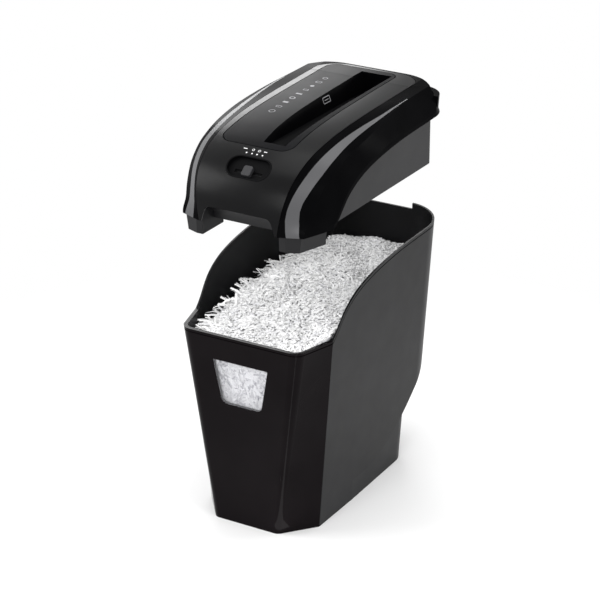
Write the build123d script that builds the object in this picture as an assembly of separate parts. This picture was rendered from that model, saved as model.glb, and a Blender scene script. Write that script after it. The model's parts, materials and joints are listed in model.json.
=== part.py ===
"""Paper shredder: a bin that stands on the floor and a cutter head lifted straight off it.

Millimetres, +Z up, the front faces -Y, the origin is on the floor.
The head is drawn seated on the bin and is moved up by LIFT as it is written out.
"""
import math
import os

from build123d import *

# Lift of the head above its seat
LIFT = 135.0

# Bin plan at the floor and at the height DRAFT_TOP
DRAFT_TOP = 330.0
FRONT_HALF_LOW = 43.0
FRONT_HALF_TOP = 92.4
FRONT_Y_LOW = -138.7
FRONT_Y_TOP = -155.8
SIDE_HALF_LOW = 76.2
SIDE_HALF_TOP = 99.3
SEAM_Y = -97.5
REAR_Y = 179.0
FRONT_ROUND_LOW = 10.0
FRONT_ROUND_TOP = 18.0
SEAM_ROUND = 4.0
REAR_ROUND_LOW = 48.0
REAR_ROUND_TOP = 52.0

# Bin rim: low front, then a swept rise to the rear, as shares of the run and of the rise
RIM_FRONT = 246.5
RIM_RISE = 64.5
RIM_SHAPE = ((0.042, 0.174), (0.089, 0.411), (0.165, 0.643), (0.283, 0.818),
             (0.421, 0.918), (0.566, 0.977), (0.714, 1.0), (1.0, 1.07))
NOTCH_HALF = 48.0
NOTCH_Z = 308.0
NOTCH_Y = 150.0

# Bin walls, front panel, lip and window
WALL = 2.4
FLOOR = 2.5
PANEL = 2.2
PANEL_GAP = 0.15
LIP = 3.0
LIP_GROOVE = 1.4
LIP_DEPTH = 1.0
WINDOW_TOP = 215.0
WINDOW_LOW = 159.5
WINDOW_HALF_TOP = 37.0
WINDOW_HALF_LOW = 26.5
WINDOW_ROUND = 9.0
WINDOW_TURN = 1.4
WINDOW_SET = 0.5
WINDOW_THICK = 3.0
WINDOW_GAP = 0.15

# Step under the lower rear of the bin
STEP_Z = 28.0
STEP_CURVE = 0.004
LOW_REAR_Y = 131.0
LOW_REAR_ROUND = 34.0
LOW_IN_FRONT = -3.9
LOW_IN_REAR = 3.7
LOW_IN_REAR_HIGH = 8.2
LOW_IN_FRONT_HIGH = -8.3
LOW_HIGH_Z = 200.0
LOW_REAR_LEAN = 7.0

# Head: three lines run along each side of it from the front foot to the rear, the cover's seam, the wing's
# crease and the rim; each row gives the seam's Y and rise, the crease's X, Y and rise, and the rim's Y
FRONT_GAP = 2.5
SEAT_GAP = 0.8
CROWN_HEIGHT = 100.0
CROWN_FRONT_Y = -151.5
HEAD_LINES = ((-151.5, 0.0, 79.8, -140.5, 0.0, -98.5), (-151.2, 14.0, 81.0, -133.0, 14.0, -91.5),
              (-149.5, 27.0, 82.9, -127.2, 26.5, -85.5), (-146.0, 38.5, 84.8, -120.5, 38.5, -79.0),
              (-140.5, 49.5, 87.0, -111.5, 49.5, -71.5), (-133.5, 58.3, 88.9, -100.0, 58.8, -62.0),
              (-124.5, 66.2, 90.3, -86.5, 67.2, -50.0), (-113.0, 73.4, 91.6, -71.0, 73.2, -35.0),
              (-97.0, 80.2, 93.0, -52.0, 78.6, -15.0), (-76.0, 85.8, 93.5, -28.0, 83.8, 8.0),
              (-48.0, 90.5, 92.8, 0.0, 88.4, 35.0), (-15.0, 93.7, 90.2, 30.0, 92.3, 64.0),
              (25.0, 95.9, 86.8, 62.0, 95.5, 95.0), (75.0, 97.5, 84.4, 100.0, 96.9, 125.0),
              (125.0, 99.0, 83.8, 140.0, 97.4, 155.0), (200.0, 100.0, 83.5, 200.0, 97.8, 178.0))
SEAM_HALF_FOOT = 51.6
SEAM_HALF_CROWN = 67.6
SEAM_GAP = 0.7
RIM_OVER = 1.2
HEAD_REAR_ROUND = 40.0
TOP_IN_SIDE = 5.0
TOP_IN_FRONT = 13.0
TOP_IN_REAR = 13.5
TOP_REAR_ROUND = 58.0
TOP_OVER = 3.0
COVER_REAR_Y = 164.0
COVER_ROUND = 38.0

# Shares of a wall by which the seam, the crease and the rim move across their run to thin the head,
# and by which the crease also moves in X
SEAM_IN = 1.0
CREASE_IN = 0.8
CREASE_IN_X = 0.75
RIM_IN = 0.2
LEDGE = 5.0
LEDGE_THICK = 1.8
LEDGE_GAP = 0.1
PANEL_LEDGE_OUT = 1.8
STEP_BACK_IN = 3.0
STEP_BACK_Z = 335.0
STEP_BACK_Y = 146.0

# Stripes: share of the crown line's length, inner and outer X
STRIPE_THICK = 1.0
STRIPE_GAP = 0.05
STRIPE_DEEP = 19.0
STRIPE_HIGH = 6.0
STRIPES = ((0.0, 61.2, 75.4), (0.02, 60.3, 74.0), (0.05, 59.7, 72.2), (0.08, 60.9, 72.0), (0.11, 63.1, 73.4),
           (0.14, 65.5, 75.8), (0.17, 67.7, 78.0), (0.20, 69.5, 80.0), (0.23, 70.9, 81.7), (0.26, 72.1, 82.9),
           (0.30, 73.2, 83.7), (0.34, 74.2, 83.9), (0.38, 75.1, 84.0), (0.42, 76.1, 84.2), (0.46, 77.2, 84.4),
           (0.50, 78.4, 84.6), (0.54, 79.8, 84.9), (0.58, 81.1, 85.0), (0.63, 82.1, 84.9), (0.68, 82.7, 84.6),
           (0.73, 83.0, 84.2))

# Slot panel with its basin, slot and guide walls
SLOT_X = 15.0
SLOT_WIDTH = 6.0
SLOT_LENGTH = 220.0
SLOT_MID_Y = 26.0
PANEL_LEFT = -57.0
PANEL_RIGHT = 36.0
PANEL_FRONT_Y = -97.5
PANEL_REAR_Y = 158.5
PANEL_ROUND = 14.0
PANEL_SEAM = 1.1
BASIN_LEFT = -10.0
BASIN_RIGHT = 31.5
BASIN_DEPTH = 22.0
BASIN_DISH = 3.0
BASIN_IN = 8.5
BASIN_SKIN = 2.2
BASIN_FRONT_Y = -88.0
BASIN_REAR_Y = 149.0

# Finger recess and front feet
RECESS_HALF_TOP = 42.0
RECESS_HALF_LOW = 48.5
RECESS_HEIGHT = 19.0
RECESS_ROUND = 9.0
RECESS_DEEP = 25.0
RECESS_DROP = 6.0
FOOT_DROP = 19.0
FOOT_IN = 6.0
FOOT_INNER = 2.0
FOOT_DEPTH = 38.0

# Lower housing
HOUSING_HALF = 88.0
HOUSING_FRONT_Y = -116.0
HOUSING_REAR_Y = 150.0
HOUSING_RISE = 2.0
HOUSING_WALL = 2.2
HOUSING_DEPTH = 59.4
HOUSING_FRONT_DEPTH = 33.0
HOUSING_SLOPE = 60.0
HOUSING_ROUND = 16.0
HOUSING_REAR_ROUND = 10.0
OUTLET_MARGIN = 3.0
POST_RADIUS = 5.5
POST_IN = 9.0
POST_RISE = 38.0
SCREW_RADIUS = 2.0
SCREW_HEAD = 3.8
SCREW_HEAD_HIGH = 2.6
FIT = 0.05

# Switch
SWITCH_Z = 65.0
SWITCH_LONG = 57.0
SWITCH_WIDE = 29.5
SWITCH_DEEP = 6.0
SWITCH_WALL = 1.6
SWITCH_FLANGE = 0.8
KNOB_LONG = 11.5
KNOB_WIDE = 13.0
KNOB_HIGH = 5.0
KNOB_STEM = 4.0
KNOB_LOW = 4.5
SWITCH_STEP = 7.3

# Cutters
SHAFT_SPREAD = 28.0
AXIS_RISE = 37.0
DISC_RADIUS = 17.0
DISC_THICK = 3.6
DISC_PITCH = 8.0
DISC_COUNT = 28
DISC_HOOKS = 5
HUB_RADIUS = 10.5
HEX_FLATS = 14.0
JOURNAL = 6.0
RUNNING = 0.05
BUSH_RADIUS = 9.0
BUSH_LONG = 6.0
PLATE = 2.5
PLATE_AIR = 2.0
PLATE_LOW = 6.0
PLATE_HIGH = 69.0
PLATE_SIDE = 43.0
COMB_AIR = 0.7
COMB_FINGER = 3.4
COMB_BAR = 5.0
COMB_HIGH = 20.0
ROD_RADIUS = 3.0
ROD_END = 2.0
ROD_SIDE = 36.5
ROD_RISE = 22.0
NUT_FLATS = 7.0
NUT_HIGH = 3.0

# Gears: teeth and modules, tooth form, places along the shafts from the front plate
TIMING_TEETH = 20
PINION_TEETH = 13
DRIVE_TEETH = 38
DRIVE_MODULE = 1.25
WHEEL_TEETH = 44
WHEEL_MODULE = 0.8
ADDENDUM = 0.75
DEDENDUM = 1.05
BACKLASH = 0.3
TIMING_WIDE = 5.0
DRIVE_WIDE = 5.0
WHEEL_WIDE = 4.0
GEAR_AIR = 1.2
PIN_RADIUS = 3.0
CLIP_RADIUS = 5.0
CLIP_THICK = 1.0

# Motor
MOTOR_RADIUS = 26.0
MOTOR_WALL = 2.5
MOTOR_LONG = 70.0
BELL_LONG = 8.0
ROTOR_RADIUS = 20.0
ROTOR_SHAFT = 3.0
ROTOR_END_AIR = 9.0
MOTOR_SCREW_OUT = 16.0

# Board, interlock and paper sensor
BOARD_THICK = 1.6
BOARD_RISE = 9.0
BOARD_X = (-80.0, -30.0)
BOARD_Y = (8.0, 104.0)
BOARD_EDGE = 6.0
PLUNGER_RADIUS = 3.0
PLUNGER_X = -62.0
PLUNGER_Y = -128.0
PLUNGER_OUT = 4.0
RIB_HIGH = 60.0
LEVER_X = 11.0
LEVER_Z = 66.0
LEVER_THICK = 5.0

# Cable gland
GLAND_X = 24.0
GLAND_DROP = 7.5
GLAND_RADIUS = 5.0
GLAND_FLANGE = 6.5
GLAND_FLANGE_HIGH = 2.5
GLAND_BORE = 3.2

FAR = 420.0

# Values that follow from the sizes above
HEAD_FRONT_Z = RIM_FRONT + FRONT_GAP
CROWN_TOP = HEAD_FRONT_Z + CROWN_HEIGHT
FLANK_Z = RIM_FRONT + RIM_RISE
HOUSING_BOTTOM = HEAD_FRONT_Z + HOUSING_RISE
HOUSING_TOP = HOUSING_BOTTOM + HOUSING_DEPTH
HOUSING_FLOOR = HOUSING_BOTTOM + HOUSING_WALL
AXIS_Z = HOUSING_BOTTOM + AXIS_RISE
DRIVE_X = SLOT_X - SHAFT_SPREAD / 2
DRIVEN_X = SLOT_X + SHAFT_SPREAD / 2
CUT_LONG = DISC_COUNT * DISC_PITCH
CUT_Y0 = SLOT_MID_Y - CUT_LONG / 2
CUT_Y1 = SLOT_MID_Y + CUT_LONG / 2
FRONT_PLATE_Y = CUT_Y0 - PLATE_AIR
REAR_PLATE_Y = CUT_Y1 + PLATE_AIR
GEAR_FACE_Y = FRONT_PLATE_Y - PLATE
TIMING_Y = GEAR_FACE_Y - GEAR_AIR - BUSH_LONG / 2 + PLATE / 2
DRIVE_Y = TIMING_Y - TIMING_WIDE - GEAR_AIR
WHEEL_Y = DRIVE_Y - DRIVE_WIDE - GEAR_AIR
TIMING_MODULE = SHAFT_SPREAD / TIMING_TEETH
DRIVE_CENTRES = DRIVE_MODULE * (PINION_TEETH + DRIVE_TEETH) / 2
WHEEL_CENTRES = WHEEL_MODULE * (PINION_TEETH + WHEEL_TEETH) / 2
IDLER_X = DRIVE_X - DRIVE_CENTRES
MOTOR_X = IDLER_X - WHEEL_CENTRES
PLATE_Z0 = HOUSING_BOTTOM + PLATE_LOW
PLATE_Z1 = HOUSING_BOTTOM + PLATE_HIGH
BASIN_Z = CROWN_TOP - BASIN_DEPTH
SLOT_Z = BASIN_Z - BASIN_DISH
GLAND_Z = STEP_BACK_Z - GLAND_DROP
GUIDE_Z = AXIS_Z + DISC_RADIUS + PLATE_AIR


# Plain solids
def block(x0, x1, y0, y1, z0, z1):
    """Box between two corners."""
    return Pos((x0 + x1) / 2, (y0 + y1) / 2, (z0 + z1) / 2) * Box(x1 - x0, y1 - y0, z1 - z0)


def rod_y(x, z, radius, y0, y1):
    """Round bar along Y."""
    return Pos(x, (y0 + y1) / 2, z) * Rot(90, 0, 0) * Cylinder(radius, y1 - y0)


def rod_z(x, y, radius, z0, z1):
    """Round bar along Z."""
    return Pos(x, y, (z0 + z1) / 2) * Cylinder(radius, z1 - z0)


def prism_y(points, y0, y1):
    """Polygon of X and Z points run along Y."""
    outline = Wire.make_polygon([(x, y1, z) for x, z in points], close=True)
    return extrude(Face(outline), amount=y1 - y0, dir=(0, -1, 0))


def prism_x(points, x0, x1):
    """Polygon of Y and Z points run along X."""
    outline = Wire.make_polygon([(x0, y, z) for y, z in points], close=True)
    return extrude(Face(outline), amount=x1 - x0, dir=(1, 0, 0))


def region_x(edges):
    """Closed Y and Z outline run along X to both sides."""
    return extrude(Face(Wire(edges)), amount=FAR, dir=(1, 0, 0), both=True)


# Plans with rounded corners
def mix(low, high, share):
    """Value a share of the way from low to high."""
    return low + (high - low) * share


def moved_in(points, distance):
    """Polygon with each side moved inwards by one distance; points run anticlockwise."""
    count = len(points)
    lines = []
    for i in range(count):
        (ax, ay), (bx, by) = points[i], points[(i + 1) % count]
        length = math.hypot(bx - ax, by - ay)
        nx, ny = -(by - ay) / length, (bx - ax) / length
        lines.append((nx, ny, nx * ax + ny * ay + distance))
    corners = []
    for i in range(count):
        n1x, n1y, c1 = lines[i - 1]
        n2x, n2y, c2 = lines[i]
        det = n1x * n2y - n1y * n2x
        corners.append(((c1 * n2y - c2 * n1y) / det, (n1x * c2 - n2x * c1) / det))
    return corners


def rounded_wire(points, radii, z):
    """Closed level wire with an arc of the given radius at each corner."""
    count = len(points)
    arcs = []
    for i in range(count):
        px, py = points[i]
        ax, ay = points[i - 1]
        bx, by = points[(i + 1) % count]
        la, lb = math.hypot(ax - px, ay - py), math.hypot(bx - px, by - py)
        ua = ((ax - px) / la, (ay - py) / la)
        ub = ((bx - px) / lb, (by - py) / lb)
        half = math.acos(max(-1.0, min(1.0, ua[0] * ub[0] + ua[1] * ub[1]))) / 2
        reach = radii[i] / math.tan(half)
        mid = (ua[0] + ub[0], ua[1] + ub[1])
        size = math.hypot(*mid)
        out = radii[i] / math.sin(half) - radii[i]
        arcs.append(((px + ua[0] * reach, py + ua[1] * reach, z),
                     (px + mid[0] / size * out, py + mid[1] / size * out, z),
                     (px + ub[0] * reach, py + ub[1] * reach, z)))
    edges = []
    for i in range(count):
        edges.append(ThreePointArc(*arcs[i]))
        edges.append(Line(arcs[i][2], arcs[(i + 1) % count][0]))
    return Wire(edges)


def bin_plan(z):
    """Corners and corner radii of the bin's outer plan at a height."""
    share = z / DRAFT_TOP
    front = mix(FRONT_HALF_LOW, FRONT_HALF_TOP, share)
    front_y = mix(FRONT_Y_LOW, FRONT_Y_TOP, share)
    side = mix(SIDE_HALF_LOW, SIDE_HALF_TOP, share)
    points = [(-front, front_y), (front, front_y), (side, SEAM_Y), (side, REAR_Y), (-side, REAR_Y),
              (-side, SEAM_Y)]
    turn = mix(FRONT_ROUND_LOW, FRONT_ROUND_TOP, share)
    rear = mix(REAR_ROUND_LOW, REAR_ROUND_TOP, share)
    return points, [turn, turn, SEAM_ROUND, rear, rear, SEAM_ROUND]


def low_plan(z):
    """Corners and radii of the narrower plan under the step at the bin's lower rear."""
    share = z / LOW_HIGH_Z
    side = mix(SIDE_HALF_LOW, SIDE_HALF_TOP, z / DRAFT_TOP)
    front = side - mix(LOW_IN_FRONT, LOW_IN_FRONT_HIGH, share)
    rear = side - mix(LOW_IN_REAR, LOW_IN_REAR_HIGH, share)
    rear_y = LOW_REAR_Y + LOW_REAR_LEAN * share
    points = [(-front, -REAR_Y), (front, -REAR_Y), (rear, rear_y), (-rear, rear_y)]
    return points, [SEAM_ROUND, SEAM_ROUND, LOW_REAR_ROUND, LOW_REAR_ROUND]


def head_plan(z):
    """Corners and radii of the head's plan: the bin's with tighter rear corners."""
    points, radii = bin_plan(z)
    return points, radii[:3] + [HEAD_REAR_ROUND, HEAD_REAR_ROUND] + radii[5:]


def top_plan(z):
    """Corners and radii of the head's plan at its top, drawn in at the sides and the rear."""
    points, radii = bin_plan(z)
    front_y = points[1][1]
    side = points[2][0] - TOP_IN_SIDE
    rear_y = REAR_Y - TOP_IN_REAR
    points = [(-side + TOP_IN_FRONT, front_y), (side - TOP_IN_FRONT, front_y), (side, SEAM_Y), (side, rear_y),
              (-side, rear_y), (-side, SEAM_Y)]
    return points, radii[:3] + [TOP_REAR_ROUND, TOP_REAR_ROUND] + radii[5:]


def plan_wire(plan, z, distance):
    """Wire of a plan at a height, moved inwards."""
    points, radii = plan(z)
    return rounded_wire(moved_in(points, distance), [max(r - distance, SEAM_ROUND / 4) for r in radii], z)


def bin_solid(distance):
    """Full-height drafted solid of the bin's plan, moved inwards."""
    return Solid.make_loft([plan_wire(bin_plan, 0, distance), plan_wire(bin_plan, DRAFT_TOP, distance)], True)


def low_solid(distance):
    """Solid under the step, moved inwards."""
    return Solid.make_loft([plan_wire(low_plan, 0, distance), plan_wire(low_plan, LOW_HIGH_Z, distance)], True)


def plan_prism(points, radii, z0, z1):
    """Upright prism of a rounded polygon."""
    face = Face(rounded_wire(points, radii, z0))
    return extrude(face, amount=z1 - z0, dir=(0, 0, 1))


# Rim line, shared by the bin and the head that sits on it
def rim_points(front_z, shift):
    """Points of the swept part of the rim, from front to rear."""
    run = REAR_Y - SEAM_Y
    points = [(0, SEAM_Y, front_z)]
    return points + [(0, SEAM_Y + run * f, RIM_FRONT + RIM_RISE * g + shift) for f, g in RIM_SHAPE]


def rim_edges(front_z, shift):
    """Rim line in Y and Z from front to rear, and its last height."""
    points = rim_points(front_z, shift)
    last = points[-1]
    edges = [Line((0, -FAR, front_z), points[0]), Spline(*points), Line(last, (0, FAR, last[2]))]
    return edges, last[2]


def rim_side(front_z, shift, z_far):
    """Everything on one side of the rim line, up or down to z_far."""
    edges, last = rim_edges(front_z, shift)
    edges += [Line((0, FAR, last), (0, FAR, z_far)), Line((0, FAR, z_far), (0, -FAR, z_far)),
              Line((0, -FAR, z_far), (0, -FAR, front_z))]
    return region_x(edges)


# Bin
def step_region(shift):
    """Everything under the swept step line."""
    ys = [0.0, 0.2 * REAR_Y, 0.4 * REAR_Y, 0.6 * REAR_Y, 0.8 * REAR_Y, 1.1 * REAR_Y]
    points = [(0, y, STEP_Z + shift + STEP_CURVE * y * y) for y in ys]
    fore, low = -0.35 * REAR_Y, -STEP_Z
    edges = [Spline(*points), Line(points[-1], (0, points[-1][1], low)),
             Line((0, points[-1][1], low), (0, fore, low)),
             Line((0, fore, low), (0, fore, points[0][2])), Line((0, fore, points[0][2]), points[0])]
    return region_x(edges)


def bin_skin(distance, shift):
    """Bin solid moved inwards, with the lower rear stepped in."""
    return bin_solid(distance) - (step_region(shift) - low_solid(distance))


over_rim = rim_side(RIM_FRONT, 0, FAR)
front_zone = block(-FAR, FAR, -FAR, SEAM_Y - PANEL_GAP, -FAR, FAR)
rear_zone = block(-FAR, FAR, SEAM_Y, FAR, -FAR, FAR)
notch = block(-NOTCH_HALF, NOTCH_HALF, NOTCH_Y, FAR, NOTCH_Z, FAR)
over_groove = rim_side(RIM_FRONT - LIP - LIP_GROOVE, -LIP - LIP_GROOVE, FAR)
groove_side = over_groove & rim_side(RIM_FRONT - LIP, -LIP, -FAR)
outer = bin_skin(0, 0)
groove = groove_side & (bin_solid(-LIP_DEPTH) - bin_solid(LIP_DEPTH))

window_points = [(-WINDOW_HALF_LOW, WINDOW_LOW), (WINDOW_HALF_LOW, WINDOW_LOW), (WINDOW_HALF_TOP, WINDOW_TOP),
                 (-WINDOW_HALF_TOP, WINDOW_TOP)]


front_plane = Plane(origin=(0, FRONT_Y_LOW, 0), x_dir=(1, 0, 0),
                    z_dir=(0, -DRAFT_TOP, FRONT_Y_TOP - FRONT_Y_LOW))


def window_prism(grow, depth, thick):
    """Window outline on the front face, from a depth under it outwards by a thickness."""
    flat = rounded_wire(moved_in(window_points, -grow),
                        [WINDOW_ROUND, WINDOW_ROUND, WINDOW_TURN, WINDOW_TURN], -depth)
    return front_plane * extrude(Face(flat), amount=thick, dir=(0, 0, 1))


window_hole = window_prism(WINDOW_GAP, 4 * WINDOW_THICK, 6 * WINDOW_THICK)
shared_front = PANEL + PANEL_GAP
front_core = bin_solid(shared_front) & block(-FAR, FAR, -FAR, SEAM_Y + WALL, -FAR, FAR)
cavity_rear = bin_skin(WALL, WALL) & block(-FAR, FAR, SEAM_Y + WALL, FAR, FLOOR, FAR)
cavity_front = bin_solid(shared_front + WALL) & block(-FAR, FAR, -FAR, SEAM_Y + 2 * WALL, FLOOR, FAR)
bin_body = (outer & rear_zone) + front_core - cavity_rear - cavity_front - over_rim - window_hole
bin_body = bin_body - notch - groove
rib_top = RIM_FRONT + FRONT_GAP - FOOT_DROP - PLUNGER_OUT - SEAT_GAP
rib = block(PLUNGER_X - PLUNGER_RADIUS, PLUNGER_X + PLUNGER_RADIUS, -FAR, PLUNGER_Y + PLUNGER_RADIUS,
            rib_top - RIB_HIGH,
            rib_top)
bin_body = bin_body + (rib & bin_solid(shared_front + WALL / 2))

bin_front_panel = (bin_solid(0) - bin_solid(PANEL)) & front_zone
bin_front_panel = bin_front_panel - over_rim - window_hole - groove
bin_window = window_prism(0, WINDOW_SET + WINDOW_THICK, WINDOW_THICK)


# Head shell
def seam_half(z):
    """Half the width between the seams at a height."""
    return mix(SEAM_HALF_FOOT, SEAM_HALF_CROWN, (z - HEAD_FRONT_Z) / CROWN_HEIGHT)


def where(edge, axis, value):
    """Share of an edge's length at which one coordinate, which grows along it, reaches a value."""
    low, high = 0.0, 1.0
    for _ in range(40):
        middle = (low + high) / 2
        if getattr(edge.position_at(middle), axis) < value:
            low = middle
        else:
            high = middle
    return low


rim_line = Spline(*rim_points(HEAD_FRONT_Z, SEAT_GAP))


def rim_height(y):
    """Height of the head's lower edge at a place along it."""
    return rim_line.position_at(where(rim_line, "Y", y)).Z


def side_half(z):
    """Half the width of the bin at a height."""
    return mix(SIDE_HALF_LOW, SIDE_HALF_TOP, z / DRAFT_TOP)


seam_rows = [(y, HEAD_FRONT_Z + rise) for y, rise, *_ in HEAD_LINES]
crease_rows = [(y, HEAD_FRONT_Z + rise) for _, _, _, y, rise, _ in HEAD_LINES]
rim_rows = [(y, rim_height(y) + RIM_OVER) for *_, y in HEAD_LINES]


def rows_in(rows, distance):
    """Line of Y and Z points moved inwards across its run."""
    moved = []
    for i, (y, z) in enumerate(rows):
        before, after = rows[max(i - 1, 0)], rows[min(i + 1, len(rows) - 1)]
        run_y, run_z = after[0] - before[0], after[1] - before[1]
        across = distance / math.hypot(run_y, run_z)
        moved.append((y + run_z * across, z - run_y * across))
    return moved


def side_wire(points, side):
    """Closed wire on one side of the head: up the front, along the line to the rear and back underneath."""
    low = HOUSING_BOTTOM - LIFT / 4
    points = [(side * x, y, z) for x, y, z in points]
    lean = (points[1][0] - points[0][0]) / (points[1][2] - points[0][2])
    foot = (points[0][0] - lean * (points[0][2] - low), points[0][1], low)
    rear = (foot[0], points[-1][1], low)
    last = Vector(*points[-1]) - Vector(*points[-2])
    line = Spline(*points, tangents=[(lean, 0, 1), last])
    return Wire([Line(foot, points[0]), line, Line(points[-1], rear), Line(rear, foot)])


def crown_solid(distance):
    """Crown between the seams, bands out to the creases and flanks down to the rim, moved inwards."""
    crease_half = [row[2] - CREASE_IN_X * distance for row in HEAD_LINES]
    lines = [[(seam_half(z), y, z) for y, z in rows_in(seam_rows, SEAM_IN * distance)],
             [(x, y, z) for x, (y, z) in zip(crease_half, rows_in(crease_rows, CREASE_IN * distance))],
             [(side_half(z) + RIM_OVER - distance, y, z) for y, z in rows_in(rim_rows, RIM_IN * distance)]]
    wires = [side_wire(line, -1) for line in reversed(lines)] + [side_wire(line, 1) for line in lines]
    return Solid.make_loft(wires, True)


def plan_solid(distance):
    """Head plan: the bin's walls carried up, then drawn in, moved inwards."""
    low = HOUSING_BOTTOM - LIFT / 4
    return Solid.make_loft([plan_wire(head_plan, low, distance), plan_wire(head_plan, FLANK_Z, distance),
                            plan_wire(top_plan, CROWN_TOP + TOP_OVER, distance)], True)


def head_solid(distance):
    """Whole outer form of the head, moved inwards."""
    return crown_solid(distance) & plan_solid(distance)


def seam_zone(grow, rear_y):
    """Everything between the seams, widened by grow, up to a rounded rear end."""
    low, high = HEAD_FRONT_Z - LIFT / 4, CROWN_TOP + TOP_OVER
    a, b = seam_half(low) + grow, seam_half(high) + grow
    wedge = prism_y([(-a, low), (a, low), (b, high), (-b, high)], -FAR / 2, rear_y)
    half = SEAM_HALF_CROWN + TOP_OVER + grow
    end = plan_prism([(-half, -FAR / 2), (half, -FAR / 2), (half, rear_y), (-half, rear_y)],
                     [SEAM_ROUND, SEAM_ROUND, COVER_ROUND + grow, COVER_ROUND + grow], low, high)
    return wedge & end


head_outer = head_solid(0)
head_inner = head_solid(WALL)
head_ledge = head_solid(WALL + LEDGE_THICK)
under_rim = rim_side(HEAD_FRONT_Z, SEAT_GAP, -FAR)
tab = block(-NOTCH_HALF + SEAT_GAP, NOTCH_HALF - SEAT_GAP, NOTCH_Y + SEAT_GAP, FAR, NOTCH_Z + SEAT_GAP, FAR)
under_head = under_rim - tab
cover_zone = seam_zone(-SEAM_GAP / 2, COVER_REAR_Y - SEAM_GAP / 2)
frame_hole = seam_zone(SEAM_GAP / 2, COVER_REAR_Y + SEAM_GAP / 2)

# Slot panel outline and recesses in the cover
panel_points = [(PANEL_LEFT, PANEL_FRONT_Y), (PANEL_RIGHT, PANEL_FRONT_Y), (PANEL_RIGHT, PANEL_REAR_Y),
                (PANEL_LEFT, PANEL_REAR_Y)]


def panel_prism(grow):
    """Slot panel outline run upwards."""
    return plan_prism(moved_in(panel_points, -grow), [PANEL_ROUND + grow] * 4, HEAD_FRONT_Z, FAR)


RECESS_TOP = HEAD_FRONT_Z + RECESS_HEIGHT
recess_points = [(-RECESS_HALF_LOW, HEAD_FRONT_Z - RECESS_HEIGHT),
                 (RECESS_HALF_LOW, HEAD_FRONT_Z - RECESS_HEIGHT),
                 (RECESS_HALF_LOW, HEAD_FRONT_Z), (RECESS_HALF_TOP, RECESS_TOP), (-RECESS_HALF_TOP, RECESS_TOP),
                 (-RECESS_HALF_LOW, HEAD_FRONT_Z)]
recess_flat = rounded_wire(recess_points, [1.0, 1.0, 1.0, RECESS_ROUND, RECESS_ROUND, 1.0], 0)
recess_cut = extrude(Rot(90, 0, 0) * Face(recess_flat), amount=FAR, dir=(0, -1, 0))
recess_cut = recess_cut & block(-FAR, FAR, -FAR, HOUSING_FRONT_Y, -FAR, FAR)

# Crown line on the middle plane, and the switch's place on it with its outward normal
crown_line = Spline(*[(0, y, z) for y, z in seam_rows])
switch_share = where(crown_line, "Z", HEAD_FRONT_Z + SWITCH_Z)
switch_run = crown_line.tangent_at(switch_share)
switch_plane = Plane(origin=crown_line.position_at(switch_share), x_dir=(1, 0, 0),
                     z_dir=(0, -switch_run.Z, switch_run.Y))


def switch_slot(grow, z0, z1):
    """Racetrack prism on the switch plane, between two depths."""
    flat = Face(rounded_wire([(-SWITCH_LONG / 2 - grow, -SWITCH_WIDE / 2 - grow),
                              (SWITCH_LONG / 2 + grow, -SWITCH_WIDE / 2 - grow),
                              (SWITCH_LONG / 2 + grow, SWITCH_WIDE / 2 + grow),
                              (-SWITCH_LONG / 2 - grow, SWITCH_WIDE / 2 + grow)],
                             [(SWITCH_WIDE / 2 + grow) * 0.96] * 4, z0))
    return switch_plane * extrude(flat, amount=z1 - z0, dir=(0, 0, 1))


switch_hole = switch_slot(PANEL_GAP, -3 * SWITCH_DEEP, 3 * SWITCH_DEEP)
cover_back = head_solid(WALL - LEDGE_GAP)
ledge_room = block(-FAR, BASIN_LEFT - LEDGE, -FAR, COVER_REAR_Y - 4 * LEDGE, -FAR, FAR)
panel_ledge = (panel_prism(PANEL_LEDGE_OUT) - panel_prism(-LEDGE / 2)) & ledge_room
panel_opening = panel_prism(PANEL_SEAM) - head_inner
top_cover = (head_outer & cover_zone) - (cover_back - panel_ledge) - head_ledge - under_rim - panel_opening
top_cover = top_cover - recess_cut - switch_hole

# Outer frame: wings joined at the rear, a ledge under the cover, screw posts and the step at the back
ledge_band = seam_zone(LEDGE, COVER_REAR_Y + LEDGE) - seam_zone(-LEDGE, COVER_REAR_Y - LEDGE)
ledge_ring = (head_inner - head_ledge) & ledge_band
ledge_ring = ledge_ring & block(-FAR, FAR, -FAR, FAR, RECESS_TOP + LEDGE, FAR)


def head_prism(distance):
    """Head plan without its drawn-in top, moved inwards."""
    return Solid.make_loft([plan_wire(head_plan, HEAD_FRONT_Z, distance),
                            plan_wire(head_plan, CROWN_TOP, distance)], True)


step_back = head_prism(STEP_BACK_IN) - head_prism(STEP_BACK_IN + 3 * WALL)
step_back = step_back & block(-FAR, FAR, STEP_BACK_Y, FAR, FLANK_Z, STEP_BACK_Z)
post_x = HOUSING_HALF - POST_IN
post_front_y = HOUSING_FRONT_Y + HOUSING_ROUND - 1.0
post_rear_y = HOUSING_REAR_Y - 2 * POST_IN
post_places = [(-post_x, post_front_y), (post_x, post_front_y), (-post_x, post_rear_y), (post_x, post_rear_y)]
post_split = HOUSING_BOTTOM + POST_RISE
outer_frame = (head_outer - frame_hole - head_inner) + ledge_ring + step_back - under_head
gland_hole = rod_y(GLAND_X, GLAND_Z, GLAND_RADIUS + FIT, STEP_BACK_Y, FAR / 2)
for px, py in post_places:
    post = rod_z(px, py, POST_RADIUS, post_split, FAR)
    outer_frame = outer_frame + (post & head_inner)
for px, py in post_places:
    outer_frame = outer_frame - rod_z(px, py, SCREW_RADIUS + FIT, FLOOR, post_split + 14.0)
outer_frame = outer_frame - gland_hole - recess_cut


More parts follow.
